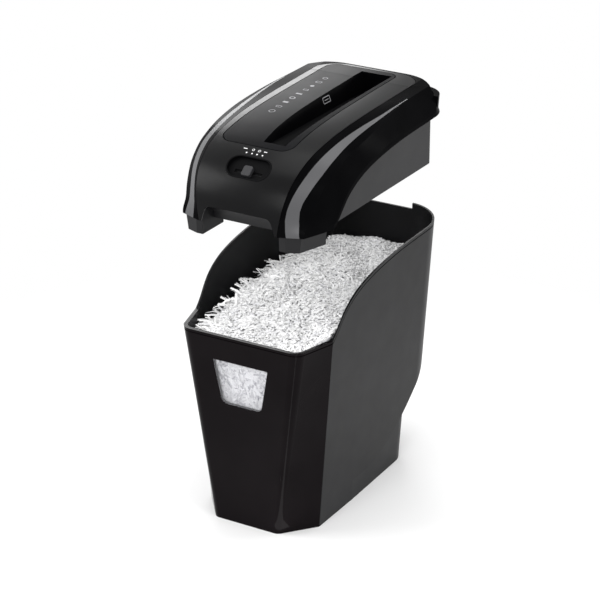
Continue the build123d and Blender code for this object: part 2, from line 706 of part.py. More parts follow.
# Stripes
def stripe_band(side):
    """Ribbon through the wing along the crown line, wide at the foot and ending in a point at the rear."""
    wires = []
    for share, inner, outside in STRIPES:
        at, run = crown_line.position_at(share), crown_line.tangent_at(share)
        deep = (at.Y + run.Z * STRIPE_DEEP, at.Z - run.Y * STRIPE_DEEP)
        high = (at.Y - run.Z * STRIPE_HIGH, at.Z + run.Y * STRIPE_HIGH)
        corners = [(side * inner, *deep), (side * outside, *deep), (side * outside, *high),
                   (side * inner, *high)]
        wires.append(Wire.make_polygon(corners, close=True))
    return Solid.make_loft(wires, True)


stripe_skin = head_outer - head_solid(STRIPE_THICK)
stripe_bed = head_outer - head_solid(STRIPE_THICK + STRIPE_GAP)
stripe_right = (stripe_skin & stripe_band(1)) - under_rim
stripe_left = (stripe_skin & stripe_band(-1)) - under_rim
outer_frame = outer_frame - (stripe_bed & stripe_band(1)) - (stripe_bed & stripe_band(-1))

# Slot panel
slot_l = SLOT_X - SLOT_WIDTH / 2
slot_r = SLOT_X + SLOT_WIDTH / 2
skin = BASIN_SKIN
trough = prism_y([(BASIN_LEFT - skin, CROWN_TOP), (BASIN_LEFT + BASIN_IN - skin, BASIN_Z - skin),
                  (slot_l - skin, SLOT_Z - skin), (slot_r + skin, SLOT_Z - skin),
                  (BASIN_RIGHT - BASIN_IN + skin, BASIN_Z - skin), (BASIN_RIGHT + skin, CROWN_TOP)],
                 BASIN_FRONT_Y - skin, BASIN_REAR_Y + skin)
basin = prism_y([(BASIN_LEFT, CROWN_TOP), (BASIN_LEFT + BASIN_IN, BASIN_Z), (slot_l, SLOT_Z), (slot_r, SLOT_Z),
                 (BASIN_RIGHT - BASIN_IN, BASIN_Z), (BASIN_RIGHT, CROWN_TOP), (BASIN_RIGHT, FAR),
                 (BASIN_LEFT, FAR)],
                BASIN_FRONT_Y, BASIN_REAR_Y)
guide_y0 = SLOT_MID_Y - SLOT_LENGTH / 2
guide_y1 = SLOT_MID_Y + SLOT_LENGTH / 2
guide = block(slot_l - skin, slot_r + skin, guide_y0 - 1.0, guide_y1 + 1.0, GUIDE_Z, SLOT_Z)
throat = block(slot_l, slot_r, guide_y0, guide_y1, GUIDE_Z - 5.0, FAR)
panel_plate = (head_outer & panel_prism(0)) - cover_back
lever_z = HOUSING_BOTTOM + LEVER_Z
lever_x = SLOT_X + LEVER_X
lever_gap = LEVER_THICK / 2 + 0.5
ear_thick = 2.0
ears = block(slot_r, lever_x + 4.0, SLOT_MID_Y - lever_gap - ear_thick, SLOT_MID_Y - lever_gap, lever_z - 5.0,
             lever_z + 4.0)
ears = ears + block(slot_r, lever_x + 4.0, SLOT_MID_Y + lever_gap, SLOT_MID_Y + lever_gap + ear_thick,
                    lever_z - 5.0,
                    lever_z + 4.0)
slot_panel = panel_plate + ((trough + guide) & head_outer) + ears - basin - throat
slot_panel = slot_panel - block(slot_l, slot_r + skin + 0.5, SLOT_MID_Y - lever_gap, SLOT_MID_Y + lever_gap,
                                lever_z - 11.0, lever_z + 4.6)
slot_panel = slot_panel - rod_y(lever_x, lever_z, 1.5 + FIT, SLOT_MID_Y - 30, SLOT_MID_Y + 30)

# Lower housing: tub, front shelf with feet, finger recess, bosses and cradles
tub_points = [(-HOUSING_HALF, HOUSING_FRONT_Y), (HOUSING_HALF, HOUSING_FRONT_Y), (HOUSING_HALF, HOUSING_REAR_Y),
              (-HOUSING_HALF, HOUSING_REAR_Y)]
tub_round = [HOUSING_ROUND, HOUSING_ROUND, HOUSING_REAR_ROUND, HOUSING_REAR_ROUND]


def tub_solid(distance, z0, z1):
    """Tub outline moved inwards, between two heights."""
    return plan_prism(moved_in(tub_points, distance), [r - distance for r in tub_round], z0, z1)


foot_floor = HEAD_FRONT_Z - FOOT_DROP
foot_back = FRONT_Y_LOW + FOOT_DEPTH
foot_in = RECESS_HALF_LOW + FOOT_INNER


def both_sides(x0, x1, y0, y1, z0, z1):
    """Box on the right and its mirror image on the left."""
    return block(x0, x1, y0, y1, z0, z1) + block(-x1, -x0, y0, y1, z0, z1)


foot_form = bin_solid(FOOT_IN) & crown_solid(WALL + SEAT_GAP)
feet = foot_form & both_sides(foot_in, FAR, -FAR, foot_back, foot_floor, HOUSING_FLOOR)
pocket_form = bin_solid(FOOT_IN + HOUSING_WALL) & crown_solid(WALL + SEAT_GAP + HOUSING_WALL)
pockets = pocket_form & both_sides(foot_in + HOUSING_WALL, FAR, -FAR, foot_back - HOUSING_WALL,
                                   foot_floor + HOUSING_WALL,
                                   HOUSING_FLOOR + FIT)
shelf_z = HEAD_FRONT_Z + 0.6
shelf = bin_solid(WALL + SEAT_GAP) & block(-FAR, FAR, -FAR, HOUSING_FRONT_Y + HOUSING_ROUND, shelf_z,
                                           HOUSING_FLOOR)
shelf = shelf & crown_solid(WALL + SEAT_GAP)
wall_front = [(CROWN_FRONT_Y + 5.5, RECESS_TOP + 2.0), (CROWN_FRONT_Y + RECESS_DEEP - 4.0, RECESS_TOP - 6.5),
              (CROWN_FRONT_Y + RECESS_DEEP + 5.0, HEAD_FRONT_Z - RECESS_DROP)]
wall_back = [(y + HOUSING_WALL * 0.75, z + HOUSING_WALL * 0.75) for y, z in wall_front]
wall_back[2] = (wall_front[2][0] + HOUSING_WALL, wall_front[2][1])
wall_back[0] = (wall_front[0][0], wall_front[0][1] + HOUSING_WALL)


def arc_x(points):
    """Arc through three Y and Z points."""
    return ThreePointArc(*[(0, y, z) for y, z in points])


recess_wall = extrude(Face(Wire([arc_x(wall_front), Line((0, *wall_front[2]), (0, *wall_back[2])),
                                 arc_x(wall_back),
                                 Line((0, *wall_back[0]), (0, *wall_front[0]))])),
                      amount=RECESS_HALF_LOW + HOUSING_WALL, dir=(1, 0, 0), both=True)
under_wall = extrude(Face(Wire([arc_x(wall_front),
                                Line((0, *wall_front[2]), (0, wall_front[0][0], wall_front[2][1])),
                                Line((0, wall_front[0][0], wall_front[2][1]), (0, *wall_front[0]))])),
                     amount=FAR / 2, dir=(1, 0, 0), both=True)
cheeks = under_wall & both_sides(RECESS_HALF_LOW, RECESS_HALF_LOW + HOUSING_WALL, -FAR, FAR, shelf_z, FAR)
sill = block(-RECESS_HALF_LOW - HOUSING_WALL, RECESS_HALF_LOW + HOUSING_WALL, wall_front[2][0],
             HOUSING_FRONT_Y + HOUSING_WALL, wall_front[2][1], HOUSING_FLOOR)
recess_body = (recess_wall + cheeks) & head_solid(WALL + 0.6)
recess_air = block(-RECESS_HALF_LOW, RECESS_HALF_LOW, -FAR, wall_front[2][0], -FAR, HOUSING_FLOOR)

tub_front_z = HOUSING_BOTTOM + HOUSING_FRONT_DEPTH
tub_slope = prism_x([(-FAR, tub_front_z), (HOUSING_FRONT_Y, tub_front_z),
                     (HOUSING_FRONT_Y + HOUSING_SLOPE, HOUSING_TOP),
                     (HOUSING_FRONT_Y + HOUSING_SLOPE, FAR), (-FAR, FAR)], -FAR, FAR)
tub = tub_solid(0, HOUSING_BOTTOM, HOUSING_TOP) - tub_solid(HOUSING_WALL, HOUSING_FLOOR, FAR) - tub_slope
comb_out = DISC_RADIUS + SHAFT_SPREAD / 2 + OUTLET_MARGIN
outlet = block(SLOT_X - comb_out, SLOT_X + comb_out, CUT_Y0, CUT_Y1, -FAR, HOUSING_FLOOR + 0.5)
tub = tub & head_solid(WALL + SEAT_GAP)
lower_housing = tub + (shelf - recess_air) + feet + recess_body + sill - pockets - outlet
cradle_long = 9.0
front_cradle_x = [MOTOR_X, SLOT_X - PLATE_SIDE + 6.0, SLOT_X + PLATE_SIDE - 6.0]
for cx in front_cradle_x:
    lower_housing = lower_housing + block(cx - cradle_long / 2, cx + cradle_long / 2, GEAR_FACE_Y - 1.0,
                                          FRONT_PLATE_Y + 1.0, HOUSING_BOTTOM, PLATE_Z0)
for cx in front_cradle_x[1:]:
    lower_housing = lower_housing + block(cx - cradle_long / 2, cx + cradle_long / 2, REAR_PLATE_Y - 1.0,
                                          REAR_PLATE_Y + PLATE + 1.0, HOUSING_BOTTOM, PLATE_Z0)
board_z = HOUSING_FLOOR + BOARD_RISE
board_posts = [(x, y) for x in (BOARD_X[0] + BOARD_EDGE, BOARD_X[1] - BOARD_EDGE)
               for y in (BOARD_Y[0] + BOARD_EDGE, BOARD_Y[1] - BOARD_EDGE)]
for bx, by in board_posts:
    lower_housing = lower_housing + rod_z(bx, by, 3.0, HOUSING_BOTTOM, board_z)
for px, py in post_places:
    boss = rod_z(px, py, POST_RADIUS, HOUSING_BOTTOM, post_split - FIT)
    lower_housing = lower_housing + boss
for px, py in post_places:
    lower_housing = lower_housing - rod_z(px, py, SCREW_RADIUS + FIT, -FAR, FAR)
    lower_housing = lower_housing - rod_z(px, py, SCREW_HEAD + 0.3, -FAR, HOUSING_BOTTOM + SCREW_HEAD_HIGH)
lower_housing = lower_housing - rod_z(PLUNGER_X, PLUNGER_Y, PLUNGER_RADIUS + 0.3, -FAR,
                                      foot_floor + HOUSING_WALL + 0.5)

housing_screws = []
for px, py in post_places:
    head = rod_z(px, py, SCREW_HEAD, HOUSING_BOTTOM + 0.4, HOUSING_BOTTOM + SCREW_HEAD_HIGH)
    housing_screws.append(head + rod_z(px, py, SCREW_RADIUS, HOUSING_BOTTOM + 1.0, post_split + 12.0))

# Switch pieces
bezel_cup = switch_slot(0, -SWITCH_DEEP, SWITCH_FLANGE) - switch_slot(-SWITCH_WALL,
                                                                      -SWITCH_DEEP + SWITCH_WALL, SWITCH_DEEP)
stem_run = 4 * SWITCH_STEP + KNOB_STEM + 2.0
knob_slot = switch_plane * Pos(0, -KNOB_LOW, -SWITCH_DEEP) * Box(stem_run, KNOB_STEM, 4 * SWITCH_WALL)
switch_bezel = (bezel_cup & head_solid(-SWITCH_FLANGE / 2)) - knob_slot
floor_z = -SWITCH_DEEP + SWITCH_WALL
knob_gap = 0.4
knob_block = Box(KNOB_LONG, KNOB_WIDE, KNOB_HIGH)
knob_block = fillet(knob_block.edges().filter_by(Axis.Z), 2.5)
knob_block = fillet(knob_block.faces().sort_by(Axis.Z)[-1].edges(), 1.2)
switch_knob = switch_plane * Pos(0, -KNOB_LOW, floor_z + knob_gap + KNOB_HIGH / 2) * knob_block
stem_long = SWITCH_WALL + 2.4
switch_knob = switch_knob + switch_plane * Pos(0, -KNOB_LOW, floor_z + knob_gap - stem_long / 2 + 0.2) * Box(
    KNOB_STEM - 0.8, KNOB_STEM - 0.8, stem_long + 0.4)
body_gap = 0.2
body_deep = 7.0
switch_body = switch_plane * Pos(0, -KNOB_LOW, -SWITCH_DEEP - body_gap - body_deep / 2) * Box(stem_run + 4.0,
                                                                                              12.0, body_deep)
switch_body = switch_body - switch_plane * Pos(0, -KNOB_LOW, -SWITCH_DEEP - body_gap) * Box(stem_run,
                                                                                            KNOB_STEM + 0.4,
                                                                                            body_deep)


# Cutters
def hexagon(flats):
    """Corner points of a hexagon about the origin, X and Z."""
    size = flats / math.sqrt(3)
    return [(size * math.cos(math.radians(60 * i)), size * math.sin(math.radians(60 * i))) for i in range(6)]


def hex_bar(x, z, flats, y0, y1):
    """Hexagonal bar along Y."""
    return prism_y([(x + px, z + pz) for px, pz in hexagon(flats)], y0, y1)


def cutter_disc():
    """One hooked disc with its spacer hub, at the origin, disc face at Y = 0."""
    disc = rod_y(0, 0, DISC_RADIUS, 0, DISC_THICK)
    hub = rod_y(0, 0, HUB_RADIUS, DISC_THICK - 0.1, DISC_PITCH - FIT)
    hook = prism_y([(DISC_RADIUS + 1, -4.5), (DISC_RADIUS + 1, 0.6), (DISC_RADIUS - 3.2, 0.0)], -1,
                   DISC_THICK + 1)
    hooks = [Rot(0, 360 / DISC_HOOKS * i, 0) * hook for i in range(DISC_HOOKS)]
    return disc + hub - hooks - hex_bar(0, 0, HEX_FLATS + 2 * FIT, -1, DISC_PITCH + 1)


def disc_stack(x, y0, sense):
    """Stack of discs along a shaft, each turned on by one flat from the last."""
    disc = cutter_disc()
    if sense < 0:
        disc = disc.mirror(Plane.YZ)
    stack = []
    for i in range(DISC_COUNT):
        stack.append(Pos(x, y0 + i * DISC_PITCH, AXIS_Z) * Rot(0, 60 * i, 0) * disc)
    return stack


drive_discs = disc_stack(DRIVE_X, CUT_Y0, 1)
driven_discs = disc_stack(DRIVEN_X, CUT_Y0 + DISC_PITCH / 2, -1)
shaft_rear = REAR_PLATE_Y + PLATE + BUSH_LONG / 2
hex_y0, hex_y1 = CUT_Y0 - 1.0, CUT_Y1 + 1.0
drive_front = DRIVE_Y - DRIVE_WIDE - 0.8
driven_front = TIMING_Y - TIMING_WIDE - 0.8


def cutter_shaft(x, front):
    """Hexagonal shaft with round journals."""
    bar = hex_bar(x, AXIS_Z, HEX_FLATS, hex_y0, hex_y1)
    return bar + rod_y(x, AXIS_Z, JOURNAL, front, hex_y0) + rod_y(x, AXIS_Z, JOURNAL, hex_y1, shaft_rear - 1.0)


drive_shaft = cutter_shaft(DRIVE_X, drive_front)
driven_shaft = cutter_shaft(DRIVEN_X, driven_front)
driven_discs = driven_discs[:-1] + [driven_discs[-1] & block(-FAR, FAR, -FAR, CUT_Y1, -FAR, FAR)]

front_bush_y = (FRONT_PLATE_Y - PLATE / 2 - BUSH_LONG / 2, FRONT_PLATE_Y - 0.2)
rear_bush_y = (REAR_PLATE_Y + 0.2, REAR_PLATE_Y + PLATE / 2 + BUSH_LONG / 2)
shaft_bushes = []
for x in (DRIVE_X, DRIVEN_X):
    for y0, y1 in (front_bush_y, rear_bush_y):
        shaft_bushes.append(rod_y(x, AXIS_Z, BUSH_RADIUS, y0, y1) - rod_y(x, AXIS_Z, JOURNAL + RUNNING,
                                                                          y0 - 1, y1 + 1))

rod_places = [(SLOT_X + sx * ROD_SIDE, AXIS_Z + sz * ROD_RISE) for sx in (-1, 1) for sz in (-1, 1)]


def frame_plate(x0, x1, y0):
    """Side plate of the mechanism with its shaft, rod and bearing holes."""
    plate = block(x0, x1, y0, y0 + PLATE, PLATE_Z0, PLATE_Z1)
    plate = plate - [rod_y(x, AXIS_Z, BUSH_RADIUS + FIT, y0 - 1, y0 + PLATE + 1) for x in (DRIVE_X, DRIVEN_X)]
    return plate - [rod_y(x, z, ROD_END + FIT, y0 - 1, y0 + PLATE + 1) for x, z in rod_places]


motor_left = MOTOR_X - MOTOR_SCREW_OUT - 5.0
front_plate = frame_plate(motor_left, SLOT_X + PLATE_SIDE, GEAR_FACE_Y)
front_plate = front_plate - rod_y(MOTOR_X, AXIS_Z, 2 * ROTOR_SHAFT, GEAR_FACE_Y - 1, FRONT_PLATE_Y + 1)
front_plate = front_plate - rod_y(IDLER_X, AXIS_Z, PIN_RADIUS + FIT, GEAR_FACE_Y - 1, FRONT_PLATE_Y + 1)
motor_screw_z = [AXIS_Z - MOTOR_SCREW_OUT, AXIS_Z + MOTOR_SCREW_OUT]
for mz in motor_screw_z:
    front_plate = front_plate - rod_y(MOTOR_X, mz, SCREW_RADIUS + FIT, GEAR_FACE_Y - 1, FRONT_PLATE_Y + 1)
rear_plate = frame_plate(SLOT_X - PLATE_SIDE, SLOT_X + PLATE_SIDE, REAR_PLATE_Y)

tie_rods = []
tie_rod_nuts = []
for x, z in rod_places:
    rod = rod_y(x, z, ROD_RADIUS, FRONT_PLATE_Y, REAR_PLATE_Y)
    rod = rod + rod_y(x, z, ROD_END, GEAR_FACE_Y - NUT_HIGH - 0.5, REAR_PLATE_Y + PLATE + NUT_HIGH + 0.5)
    tie_rods.append(rod)
    for y0 in (GEAR_FACE_Y - NUT_HIGH, REAR_PLATE_Y + PLATE):
        nut = hex_bar(x, z, NUT_FLATS, y0, y0 + NUT_HIGH) - rod_y(x, z, ROD_END + FIT, y0 - 1,
                                                                  y0 + NUT_HIGH + 1)
        tie_rod_nuts.append(nut)


def stripper_comb(side, y_first):
    """Comb on the outer side of one shaft, with a finger between each pair of discs."""
    shaft_x = SLOT_X + side * SHAFT_SPREAD / 2
    near = shaft_x + side * (HUB_RADIUS + COMB_AIR)
    bar_in = shaft_x + side * (DISC_RADIUS + 3.0)
    bar_out = bar_in + side * COMB_BAR
    low, high = AXIS_Z - COMB_HIGH / 2, AXIS_Z + COMB_HIGH / 2
    comb = block(min(bar_in, bar_out), max(bar_in, bar_out), FRONT_PLATE_Y, REAR_PLATE_Y, low, high)
    fingers = []
    for i in range(DISC_COUNT - 1):
        mid = y_first + i * DISC_PITCH + (DISC_THICK + DISC_PITCH) / 2
        fingers.append(block(min(near, bar_out), max(near, bar_out), mid - COMB_FINGER / 2,
                             mid + COMB_FINGER / 2,
                             AXIS_Z - COMB_HIGH / 4, AXIS_Z + COMB_HIGH / 4))
    return comb + fingers


left_comb = stripper_comb(-1, CUT_Y0)
right_comb = stripper_comb(1, CUT_Y0 + DISC_PITCH / 2)


# Gears
def gear_points(teeth, module, phase):
    """Outline of an involute gear about the origin, in X and Z, a tooth centred on the phase in degrees."""
    pitch = module * teeth / 2
    base = pitch * math.cos(math.radians(20))
    tip, root = pitch + ADDENDUM * module, pitch - DEDENDUM * module
    unroll = math.tan(math.radians(20)) - math.radians(20)
    half = math.pi / (2 * teeth) - BACKLASH / (4 * pitch)
    flank = []
    start = max(base, root)
    for i in range(6):
        radius = mix(start, tip, i / 5)
        angle = math.acos(base / radius)
        flank.append((radius, half + unroll - (math.tan(angle) - angle)))
    if root < base:
        flank.insert(0, (root, flank[0][1]))
    points = []
    for i in range(teeth):
        middle = math.radians(phase) + 2 * math.pi * i / teeth
        points += [(r * math.cos(middle - a), r * math.sin(middle - a)) for r, a in flank]
        points += [(r * math.cos(middle + a), r * math.sin(middle + a)) for r, a in reversed(flank)]
    return points


def gear(x, teeth, module, phase, y1, wide):
    """Gear on an axis along Y at the height of the shafts, from y1 - wide to y1."""
    return prism_y([(x + px, AXIS_Z + pz) for px, pz in gear_points(teeth, module, phase)], y1 - wide, y1)


def bored(shape, x, radius):
    """Shape with a hole along Y."""
    return shape - rod_y(x, AXIS_Z, radius, -FAR, FAR)


half_timing = 180 / TIMING_TEETH
drive_timing_gear = bored(gear(DRIVE_X, TIMING_TEETH, TIMING_MODULE, 0, TIMING_Y, TIMING_WIDE), DRIVE_X,
                          JOURNAL + FIT)
driven_timing_gear = bored(gear(DRIVEN_X, TIMING_TEETH, TIMING_MODULE, 180 + half_timing, TIMING_Y,
                                TIMING_WIDE), DRIVEN_X,
                           JOURNAL + FIT)
drive_gear = bored(gear(DRIVE_X, DRIVE_TEETH, DRIVE_MODULE, 180 + 180 / DRIVE_TEETH, DRIVE_Y, DRIVE_WIDE),
                   DRIVE_X,
                   JOURNAL + FIT)
compound_gear = gear(IDLER_X, PINION_TEETH, DRIVE_MODULE, 0, DRIVE_Y, DRIVE_WIDE + GEAR_AIR + 0.2)
compound_gear = compound_gear + gear(IDLER_X, WHEEL_TEETH, WHEEL_MODULE, 180 + 180 / WHEEL_TEETH, WHEEL_Y,
                                     WHEEL_WIDE)
compound_gear = compound_gear + rod_y(IDLER_X, AXIS_Z, 1.7 * PIN_RADIUS, DRIVE_Y - 0.2, GEAR_FACE_Y - 0.4)
compound_gear = bored(compound_gear, IDLER_X, PIN_RADIUS + RUNNING)
motor_pinion = bored(gear(MOTOR_X, PINION_TEETH, WHEEL_MODULE, 0, WHEEL_Y, WHEEL_WIDE), MOTOR_X,
                     ROTOR_SHAFT + FIT)
pin_end = WHEEL_Y - WHEEL_WIDE - 0.4 - CLIP_THICK
idler_pin = rod_y(IDLER_X, AXIS_Z, PIN_RADIUS, pin_end - 0.8, FRONT_PLATE_Y)
idler_clip = rod_y(IDLER_X, AXIS_Z, CLIP_RADIUS, pin_end, pin_end + CLIP_THICK)
idler_clip = bored(idler_clip, IDLER_X, PIN_RADIUS + FIT)

# Motor
motor_end = FRONT_PLATE_Y + MOTOR_LONG
motor_can = rod_y(MOTOR_X, AXIS_Z, MOTOR_RADIUS, FRONT_PLATE_Y, motor_end)
motor_can = motor_can - rod_y(MOTOR_X, AXIS_Z, MOTOR_RADIUS - MOTOR_WALL, FRONT_PLATE_Y + MOTOR_WALL,
                              motor_end + 1)
motor_can = bored(motor_can, MOTOR_X, ROTOR_SHAFT + RUNNING)
for mz in motor_screw_z:
    motor_can = motor_can - rod_y(MOTOR_X, mz, SCREW_RADIUS + FIT, FRONT_PLATE_Y - 1,
                                  FRONT_PLATE_Y + MOTOR_WALL + 1)
motor_bell = rod_y(MOTOR_X, AXIS_Z, MOTOR_RADIUS, motor_end, motor_end + BELL_LONG)
motor_bell = motor_bell - rod_y(MOTOR_X, AXIS_Z, MOTOR_RADIUS - MOTOR_WALL, motor_end - 1,
                                motor_end + BELL_LONG - MOTOR_WALL)
motor_bell = bored(motor_bell, MOTOR_X, ROTOR_SHAFT + RUNNING)
rotor_y0 = FRONT_PLATE_Y + MOTOR_WALL + ROTOR_END_AIR
rotor = rod_y(MOTOR_X, AXIS_Z, ROTOR_SHAFT, WHEEL_Y - WHEEL_WIDE - 0.5, motor_end + BELL_LONG + 0.5)
rotor = rotor + rod_y(MOTOR_X, AXIS_Z, ROTOR_RADIUS, rotor_y0, motor_end - 2 * ROTOR_END_AIR)
rotor = rotor + rod_y(MOTOR_X, AXIS_Z, ROTOR_RADIUS * 0.4, motor_end - 2 * ROTOR_END_AIR,
                      motor_end - ROTOR_END_AIR / 2)
motor_screws = []
for mz in motor_screw_z:
    screw = rod_y(MOTOR_X, mz, SCREW_HEAD, GEAR_FACE_Y - 2.0, GEAR_FACE_Y)
    motor_screws.append(screw + rod_y(MOTOR_X, mz, SCREW_RADIUS, GEAR_FACE_Y - 1.0, FRONT_PLATE_Y + MOTOR_WALL))

# Board, interlock, paper sensor, gland
control_board = block(*BOARD_X, *BOARD_Y, board_z, board_z + BOARD_THICK)
on_board = board_z + BOARD_THICK
board_mid = (BOARD_Y[0] + BOARD_Y[1]) / 2
board_components = [block(BOARD_X[0] + 8, BOARD_X[0] + 27, board_mid - 30, board_mid - 15, on_board,
                          on_board + 16),
                    block(BOARD_X[0] + 8, BOARD_X[0] + 34, board_mid + 2, board_mid + 24, on_board,
                          on_board + 20),
                    rod_z(BOARD_X[1] - 12, board_mid - 20, 6.5, on_board, on_board + 22),
                    block(BOARD_X[1] - 16, BOARD_X[1] - 4, board_mid + 6, board_mid + 30, on_board,
                          on_board + 11)]

plunger_seat = foot_floor + HOUSING_WALL
interlock_plunger = rod_z(PLUNGER_X, PLUNGER_Y, PLUNGER_RADIUS, foot_floor - PLUNGER_OUT, plunger_seat + 3.0)
interlock_plunger = interlock_plunger + rod_z(PLUNGER_X, PLUNGER_Y, PLUNGER_RADIUS + 1.5, plunger_seat + 0.2,
                                              plunger_seat + 1.7)
switch_low = plunger_seat + 6.4
switch_top = switch_low + 9.0
bracket_y = PLUNGER_Y + PLUNGER_RADIUS + 2.0
interlock_switch = block(PLUNGER_X - 8.0, PLUNGER_X + 8.0, PLUNGER_Y - 3.0, bracket_y, switch_low, switch_top)
shelf_bracket = block(PLUNGER_X - 8.0, PLUNGER_X + 8.0, bracket_y, bracket_y + 2.0, foot_floor + 0.5,
                      switch_top)
lower_housing = lower_housing + shelf_bracket

lever_pin = rod_y(lever_x, lever_z, 1.5, SLOT_MID_Y - lever_gap - ear_thick, SLOT_MID_Y + lever_gap + ear_thick)
lever_hub = rod_y(lever_x, lever_z, 3.2, SLOT_MID_Y - LEVER_THICK / 2, SLOT_MID_Y + LEVER_THICK / 2)
lever_arm = prism_y([(lever_x, lever_z + 2.6), (slot_l + 1.2, lever_z - 3.2), (slot_l + 1.2, lever_z - 5.2),
                     (lever_x, lever_z - 2.6)], SLOT_MID_Y - LEVER_THICK / 2, SLOT_MID_Y + LEVER_THICK / 2)
sensor_lever = lever_hub + lever_arm
sensor_lever = sensor_lever - rod_y(lever_x, lever_z, 1.5 + RUNNING, -FAR, FAR)
sensor_y = SLOT_MID_Y + lever_gap + ear_thick
sensor_switch = block(slot_r + skin, lever_x + 5.0, sensor_y, sensor_y + 12.0, lever_z - 5.0, lever_z + 4.0)

gland_y = REAR_Y - STEP_BACK_IN
cable_gland = rod_y(GLAND_X, GLAND_Z, GLAND_FLANGE, gland_y, gland_y + GLAND_FLANGE_HIGH)
cable_gland = cable_gland + rod_y(GLAND_X, GLAND_Z, GLAND_RADIUS, gland_y - 10.0, gland_y + 0.1)
cable_gland = cable_gland - rod_y(GLAND_X, GLAND_Z, GLAND_BORE, gland_y - 20.0, gland_y + 20.0)

# Written out: the bin where it stands, the head lifted
os.makedirs("parts", exist_ok=True)
standing = {"bin_body": bin_body, "bin_front_panel": bin_front_panel, "bin_window": bin_window}
lifted = {
    "top_cover": top_cover, "outer_frame": outer_frame, "stripe_left": stripe_left,
          "stripe_right": stripe_right,
    "slot_panel": slot_panel, "lower_housing": lower_housing, "housing_screws": housing_screws,
    "switch_bezel": switch_bezel, "switch_knob": switch_knob, "switch_body": switch_body,
          "cable_gland": cable_gland,
    "front_plate": front_plate, "rear_plate": rear_plate, "tie_rods": tie_rods, "tie_rod_nuts": tie_rod_nuts,
    "shaft_bushes": shaft_bushes, "drive_shaft": drive_shaft, "driven_shaft": driven_shaft,
    "drive_discs": drive_discs, "driven_discs": driven_discs, "left_comb": left_comb, "right_comb": right_comb,
    "drive_timing_gear": drive_timing_gear, "driven_timing_gear": driven_timing_gear, "drive_gear": drive_gear,
    "compound_gear": compound_gear, "idler_pin": idler_pin, "idler_clip": idler_clip,
          "motor_pinion": motor_pinion,
    "motor_can": motor_can, "motor_bell": motor_bell, "motor_rotor": rotor, "motor_screws": motor_screws,
    "control_board": control_board, "board_components": board_components,
          "interlock_plunger": interlock_plunger,
    "interlock_switch": interlock_switch, "sensor_lever": sensor_lever, "sensor_pin": lever_pin,
    "sensor_switch": sensor_switch,
}


def solids_of(piece):
    """All solids of a piece or of a group of pieces."""
    group = piece if isinstance(piece, list) else [piece]
    return [solid for shape in group for solid in shape.solids()]


for place, nodes in ((Pos(0, 0, 0), standing), (Pos(0, 0, LIFT), lifted)):
    for name, piece in nodes.items():
        solids = [place * solid for solid in solids_of(piece)]
        shape = solids[0] if len(solids) == 1 else Compound(solids)
        export_step(shape, f"parts/{name}.step")
        print(name, len(solids), [round(solid.volume) for solid in solids[:4]])
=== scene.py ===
# %% [markdown]
# A paper shredder with its cutter head lifted off the bin
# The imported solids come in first, as a fixed frame in metres. Everything else in this file is light,
# finish, printed marks and the shredded paper that lies in the bin. Nothing here moves or changes a solid.

# %% Load the solids
import json
import math

import bpy
import numpy as np
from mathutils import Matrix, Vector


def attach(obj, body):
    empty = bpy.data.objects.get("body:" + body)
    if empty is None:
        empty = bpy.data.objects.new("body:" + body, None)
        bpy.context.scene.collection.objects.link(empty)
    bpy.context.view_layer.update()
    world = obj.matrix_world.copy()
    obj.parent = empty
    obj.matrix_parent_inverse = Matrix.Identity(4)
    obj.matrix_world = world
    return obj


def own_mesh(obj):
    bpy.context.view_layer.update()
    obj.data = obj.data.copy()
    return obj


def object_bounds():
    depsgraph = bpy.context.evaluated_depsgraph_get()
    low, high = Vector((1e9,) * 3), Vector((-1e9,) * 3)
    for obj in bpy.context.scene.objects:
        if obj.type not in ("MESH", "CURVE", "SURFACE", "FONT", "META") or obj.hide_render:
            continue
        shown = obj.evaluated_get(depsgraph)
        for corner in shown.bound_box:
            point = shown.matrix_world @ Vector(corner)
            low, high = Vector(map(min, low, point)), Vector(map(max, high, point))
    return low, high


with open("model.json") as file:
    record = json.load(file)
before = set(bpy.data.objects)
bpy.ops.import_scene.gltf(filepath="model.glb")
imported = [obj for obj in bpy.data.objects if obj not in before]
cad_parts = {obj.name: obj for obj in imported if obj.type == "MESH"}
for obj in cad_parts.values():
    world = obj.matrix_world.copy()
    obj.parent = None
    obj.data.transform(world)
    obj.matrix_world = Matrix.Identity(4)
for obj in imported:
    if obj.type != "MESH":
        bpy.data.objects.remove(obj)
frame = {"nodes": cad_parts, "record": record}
cad_low, cad_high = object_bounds()
nodes = frame["nodes"]
MM = 0.001
print("solids:", len(nodes), "box in mm:", [round((b - a) / MM) for a, b in zip(cad_low, cad_high)])

# %% [markdown]
# The camera
# The view was solved from the photograph's own edges: a long lens, about 31 degrees round to the right and
# 25 degrees above the horizon. The lens axis passes below the middle of the picture, so the frame is
# shifted up.

# %% Camera
AZIMUTH, ELEVATION = math.radians(30.63), math.radians(24.65)
CAMERA_PLACE = (1.2883, -2.1895, 1.3418)
PICTURE_PIXELS = 600.0
FOCAL_PIXELS = 2316.0
AXIS_BELOW_MIDDLE = 49.3
SENSOR_MM = 36.0
FARTHEST = 50.0
camera_data = bpy.data.cameras.new("camera")
camera_data.sensor_width = SENSOR_MM
camera_data.lens = FOCAL_PIXELS / PICTURE_PIXELS * SENSOR_MM
camera_data.shift_y = AXIS_BELOW_MIDDLE / PICTURE_PIXELS
camera_data.clip_end = FARTHEST
camera = bpy.data.objects.new("camera", camera_data)
camera.location = CAMERA_PLACE
camera.rotation_euler = (math.pi / 2 - ELEVATION, 0.0, AZIMUTH)
scene = bpy.context.scene
scene.collection.objects.link(camera)
scene.camera = camera
print("lens in mm:", round(camera_data.lens, 1))

